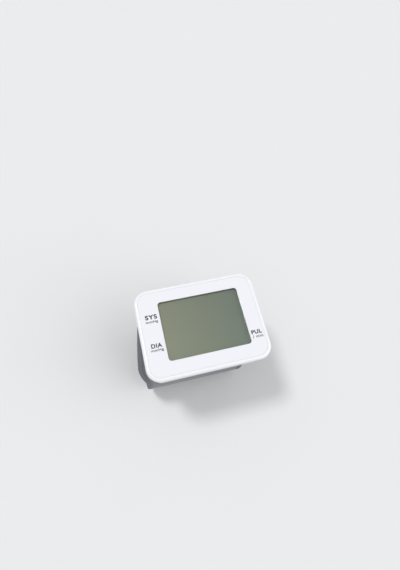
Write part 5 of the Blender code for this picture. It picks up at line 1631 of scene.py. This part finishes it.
class MONITOR_OT_flap(bpy.types.Operator):
    """Models the closing flap: cloth, edge tape, stitches and hook patch"""
    bl_idname = "monitor.flap"
    bl_label = "Closing flap"

    def execute(self, context):
        sizes = context.scene.monitor_cuff
        loop = Loop(sizes)
        begin, stop = loop.flap_start, loop.flap_stop
        root, thick, tuck = loop.end - 6.2 * MM, 0.9 * MM, 1.0 * MM
        half_width = sizes.flap_half_width
        leaf = sizes.tape_width - tuck
        edges = loop.strip(half_width - tuck)
        fold_start = loop.place(begin - 1.0 * MM, loop.centre(begin), 0.0)
        fold_end = loop.place(begin + 2.0 * MM, loop.centre(begin), 0.0)

        def lift(s):
            """Depth of the flap's middle: sewn on the cuff's end, then out over its other end."""
            return -0.38 * MM - 1.52 * MM * ease(s, begin - 0.5 * MM, begin + sizes.flap_step)

        def flap_depth(s, x, distance):
            """Depth of the flap's cloth: pressed down under its tape, a little slack elsewhere."""
            low = min(x - edges[0](s), edges[1](s) - x, stop - s)
            under = 1.0 - ease(low, leaf - 0.9 * MM, leaf + 1.4 * MM)
            slack = ripple(s / (9 * MM), x / (15 * MM), 12.0) * 0.10 * MM
            return lift(s) + 0.22 * MM * under + slack * (1 - under)
        rows, bounds = band_rows(root, stop - tuck, sizes.flap_corner - tuck, edges,
                                 sizes.row_spacing, square_start=True)
        cloth = lay_band("flap_cloth", loop, rows, bounds, 52, flap_depth, thick)
        smooth(cloth)
        dress(cloth, "cuff_cloth", None, "cuff_cloth", "cuff_flap")
        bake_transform(cloth)

        rows, bounds = band_rows(root, stop, sizes.flap_corner, loop.strip(half_width),
                                 sizes.row_spacing, square_start=True)
        path = even_path(outline(rows, bounds), 1.0 * MM, False)
        width = sizes.tape_width * 0.8

        def profile(s, along):
            """The flap tape's fold round the edge."""
            return round_fold(width, lift(s) - 0.5 * MM, lift(s) + 0.42 * MM, 0.5 * MM, steps=8)
        tape = lay_tape("flap_edge_tape", loop, path, profile, 0.3 * MM, False)
        smooth(tape, FOLD_ANGLE)
        dress(tape, "edge_tape", None, "edge_tape", "flap_binding")
        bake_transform(tape)

        free = [spot for spot in path if spot[1] > begin + 3 * MM]
        shifted = [(spot[0] - free[0][0], *spot[1:]) for spot in free]
        edge_row = stitch_row("flap_edge_stitches", loop, shifted, width * 0.7,
                              lambda s: lift(s) - 0.62 * MM, sizes)
        smooth(edge_row)
        dress(edge_row, "thread", "cuff_flap", "edge_tape")
        sewn = []
        reach = half_width - 1.5 * MM
        for s in (root + 1.0 * MM, root + 4.0 * MM):
            ends = [(s, loop.centre(s) - reach), (s, loop.centre(s) + reach)]
            sewn.append(stitch_row("flap_root_stitches", loop, even_path(ends, 1.0 * MM, False),
                                   0.0, lambda s: lift(s) - thick / 2, sizes))
        root_rows = join(sewn, "flap_root_stitches")
        smooth(root_rows)
        dress(root_rows, "thread", "housing", "edge_tape")
        hook_half, hook_start, hook_end = 27 * MM, begin + 8 * MM, stop - 6 * MM
        hooks = hook_patch(loop, hook_start, hook_end, hook_half)
        smooth(hooks)
        dress(hooks, "hook_tape", "cuff_flap", "hook_tape", "flap_hook_patch")
        return {"FINISHED"}


def hook_patch(loop, start, end, half_width):
    """The hook tape under the flap: a thin base with rows of small hooks."""
    corner, margin, foot_depth = 3.0 * MM, 1.0 * MM, -0.80 * MM
    thick, height = 0.09 * MM, 0.22 * MM
    edges = loop.strip(half_width)
    rows, bounds = band_rows(start, end, corner, edges, 1.6 * MM)
    base = lay_band("flap_hooks", loop, rows, bounds, 30, lambda s, x, d: -0.95 * MM, 0.3 * MM)
    seed = block("hook_seed", (-thick, -thick, 0.0), (thick, thick, height))

    def is_tip(face):
        """Whether a face is level and at the hook's upper end."""
        level = face.calc_center_median().z
        flat = near(level, max(vertex.co.z for vertex in face.verts), 0.001 * MM)
        return flat and face.normal.z > 0.5 and level > 0.2 * MM
    edit(seed)
    for lean, rise in ((0.05, 0.14), (0.16, 0.02)):
        pick(seed, "FACE", is_tip)
        push(lean * MM, 0, rise * MM)
    leave()
    shape = [vertex.co.copy() for vertex in seed.data.vertices]
    across = 28
    span = end - start - 2 * margin
    along = max(2, round(span / (1.5 * MM)))
    frames = []
    for row in range(along):
        s = start + margin + span * row / (along - 1)
        low, high = band_bounds(s, start, end, corner, edges)
        for column in range(across):
            part = (column + 0.5 * (row % 2)) / (across - 0.5)
            x = low + margin + (high - low - 2 * margin) * part
            foot = loop.place(s, x, foot_depth)
            inward = (loop.place(s, x, 0.2 * MM) - foot).normalized()
            ahead = (loop.place(s + 0.5 * MM, x, foot_depth) - foot).normalized()
            frames.append((foot, ahead, ahead.cross(inward), inward))
    return join([base, *stamp(seed, shape, frames)], "flap_hooks")


class MONITOR_OT_inner_parts(bpy.types.Operator):
    """Gives the parts inside the housing their materials; their shapes stay as packed"""
    bl_idname = "monitor.inner_parts"
    bl_label = "Inner parts"

    def execute(self, context):
        for names, look in INNER_LOOKS:
            for name in names.split():
                clad(bpy.data.objects[name], look)
        return {"FINISHED"}


OPERATORS = [MONITOR_OT_finishes, MONITOR_OT_stage, MONITOR_OT_front_shell, MONITOR_OT_face_panel,
             MONITOR_OT_display, MONITOR_OT_labels, MONITOR_OT_rear_shell, MONITOR_OT_battery_door,
             MONITOR_OT_buttons, MONITOR_OT_screws, MONITOR_OT_cells, MONITOR_OT_cuff_cloth,
             MONITOR_OT_bladder, MONITOR_OT_cuff_tape, MONITOR_OT_flap, MONITOR_OT_inner_parts]
SETTINGS = [("monitor_housing", HousingSizes), ("monitor_print", PrintSizes),
            ("monitor_cuff", CuffSizes), ("monitor_finishes", Finishes),
            ("monitor_stage", StageSettings)]


class MONITOR_PT_pieces(bpy.types.Panel):
    """Lists the steps that build the monitor"""
    bl_idname = "MONITOR_PT_pieces"
    bl_label = "Wrist monitor"
    bl_space_type = "VIEW_3D"
    bl_region_type = "UI"
    bl_category = "Monitor"

    def draw(self, context):
        for made in OPERATORS:
            self.layout.operator(made.bl_idname)


def register():
    for _, made in SETTINGS:
        bpy.utils.register_class(made)
    for made in OPERATORS:
        bpy.utils.register_class(made)
    bpy.utils.register_class(MONITOR_PT_pieces)
    for name, made in SETTINGS:
        setattr(bpy.types.Scene, name, PointerProperty(type=made))


def unregister():
    for name, _ in SETTINGS:
        delattr(bpy.types.Scene, name)
    bpy.utils.unregister_class(MONITOR_PT_pieces)
    for made in reversed(OPERATORS):
        bpy.utils.unregister_class(made)
    for _, made in reversed(SETTINGS):
        bpy.utils.unregister_class(made)


def main():
    register()
    for made in OPERATORS:
        family, step = made.bl_idname.split(".")
        getattr(getattr(bpy.ops, family), step)()


if __name__ == "__main__":
    main()
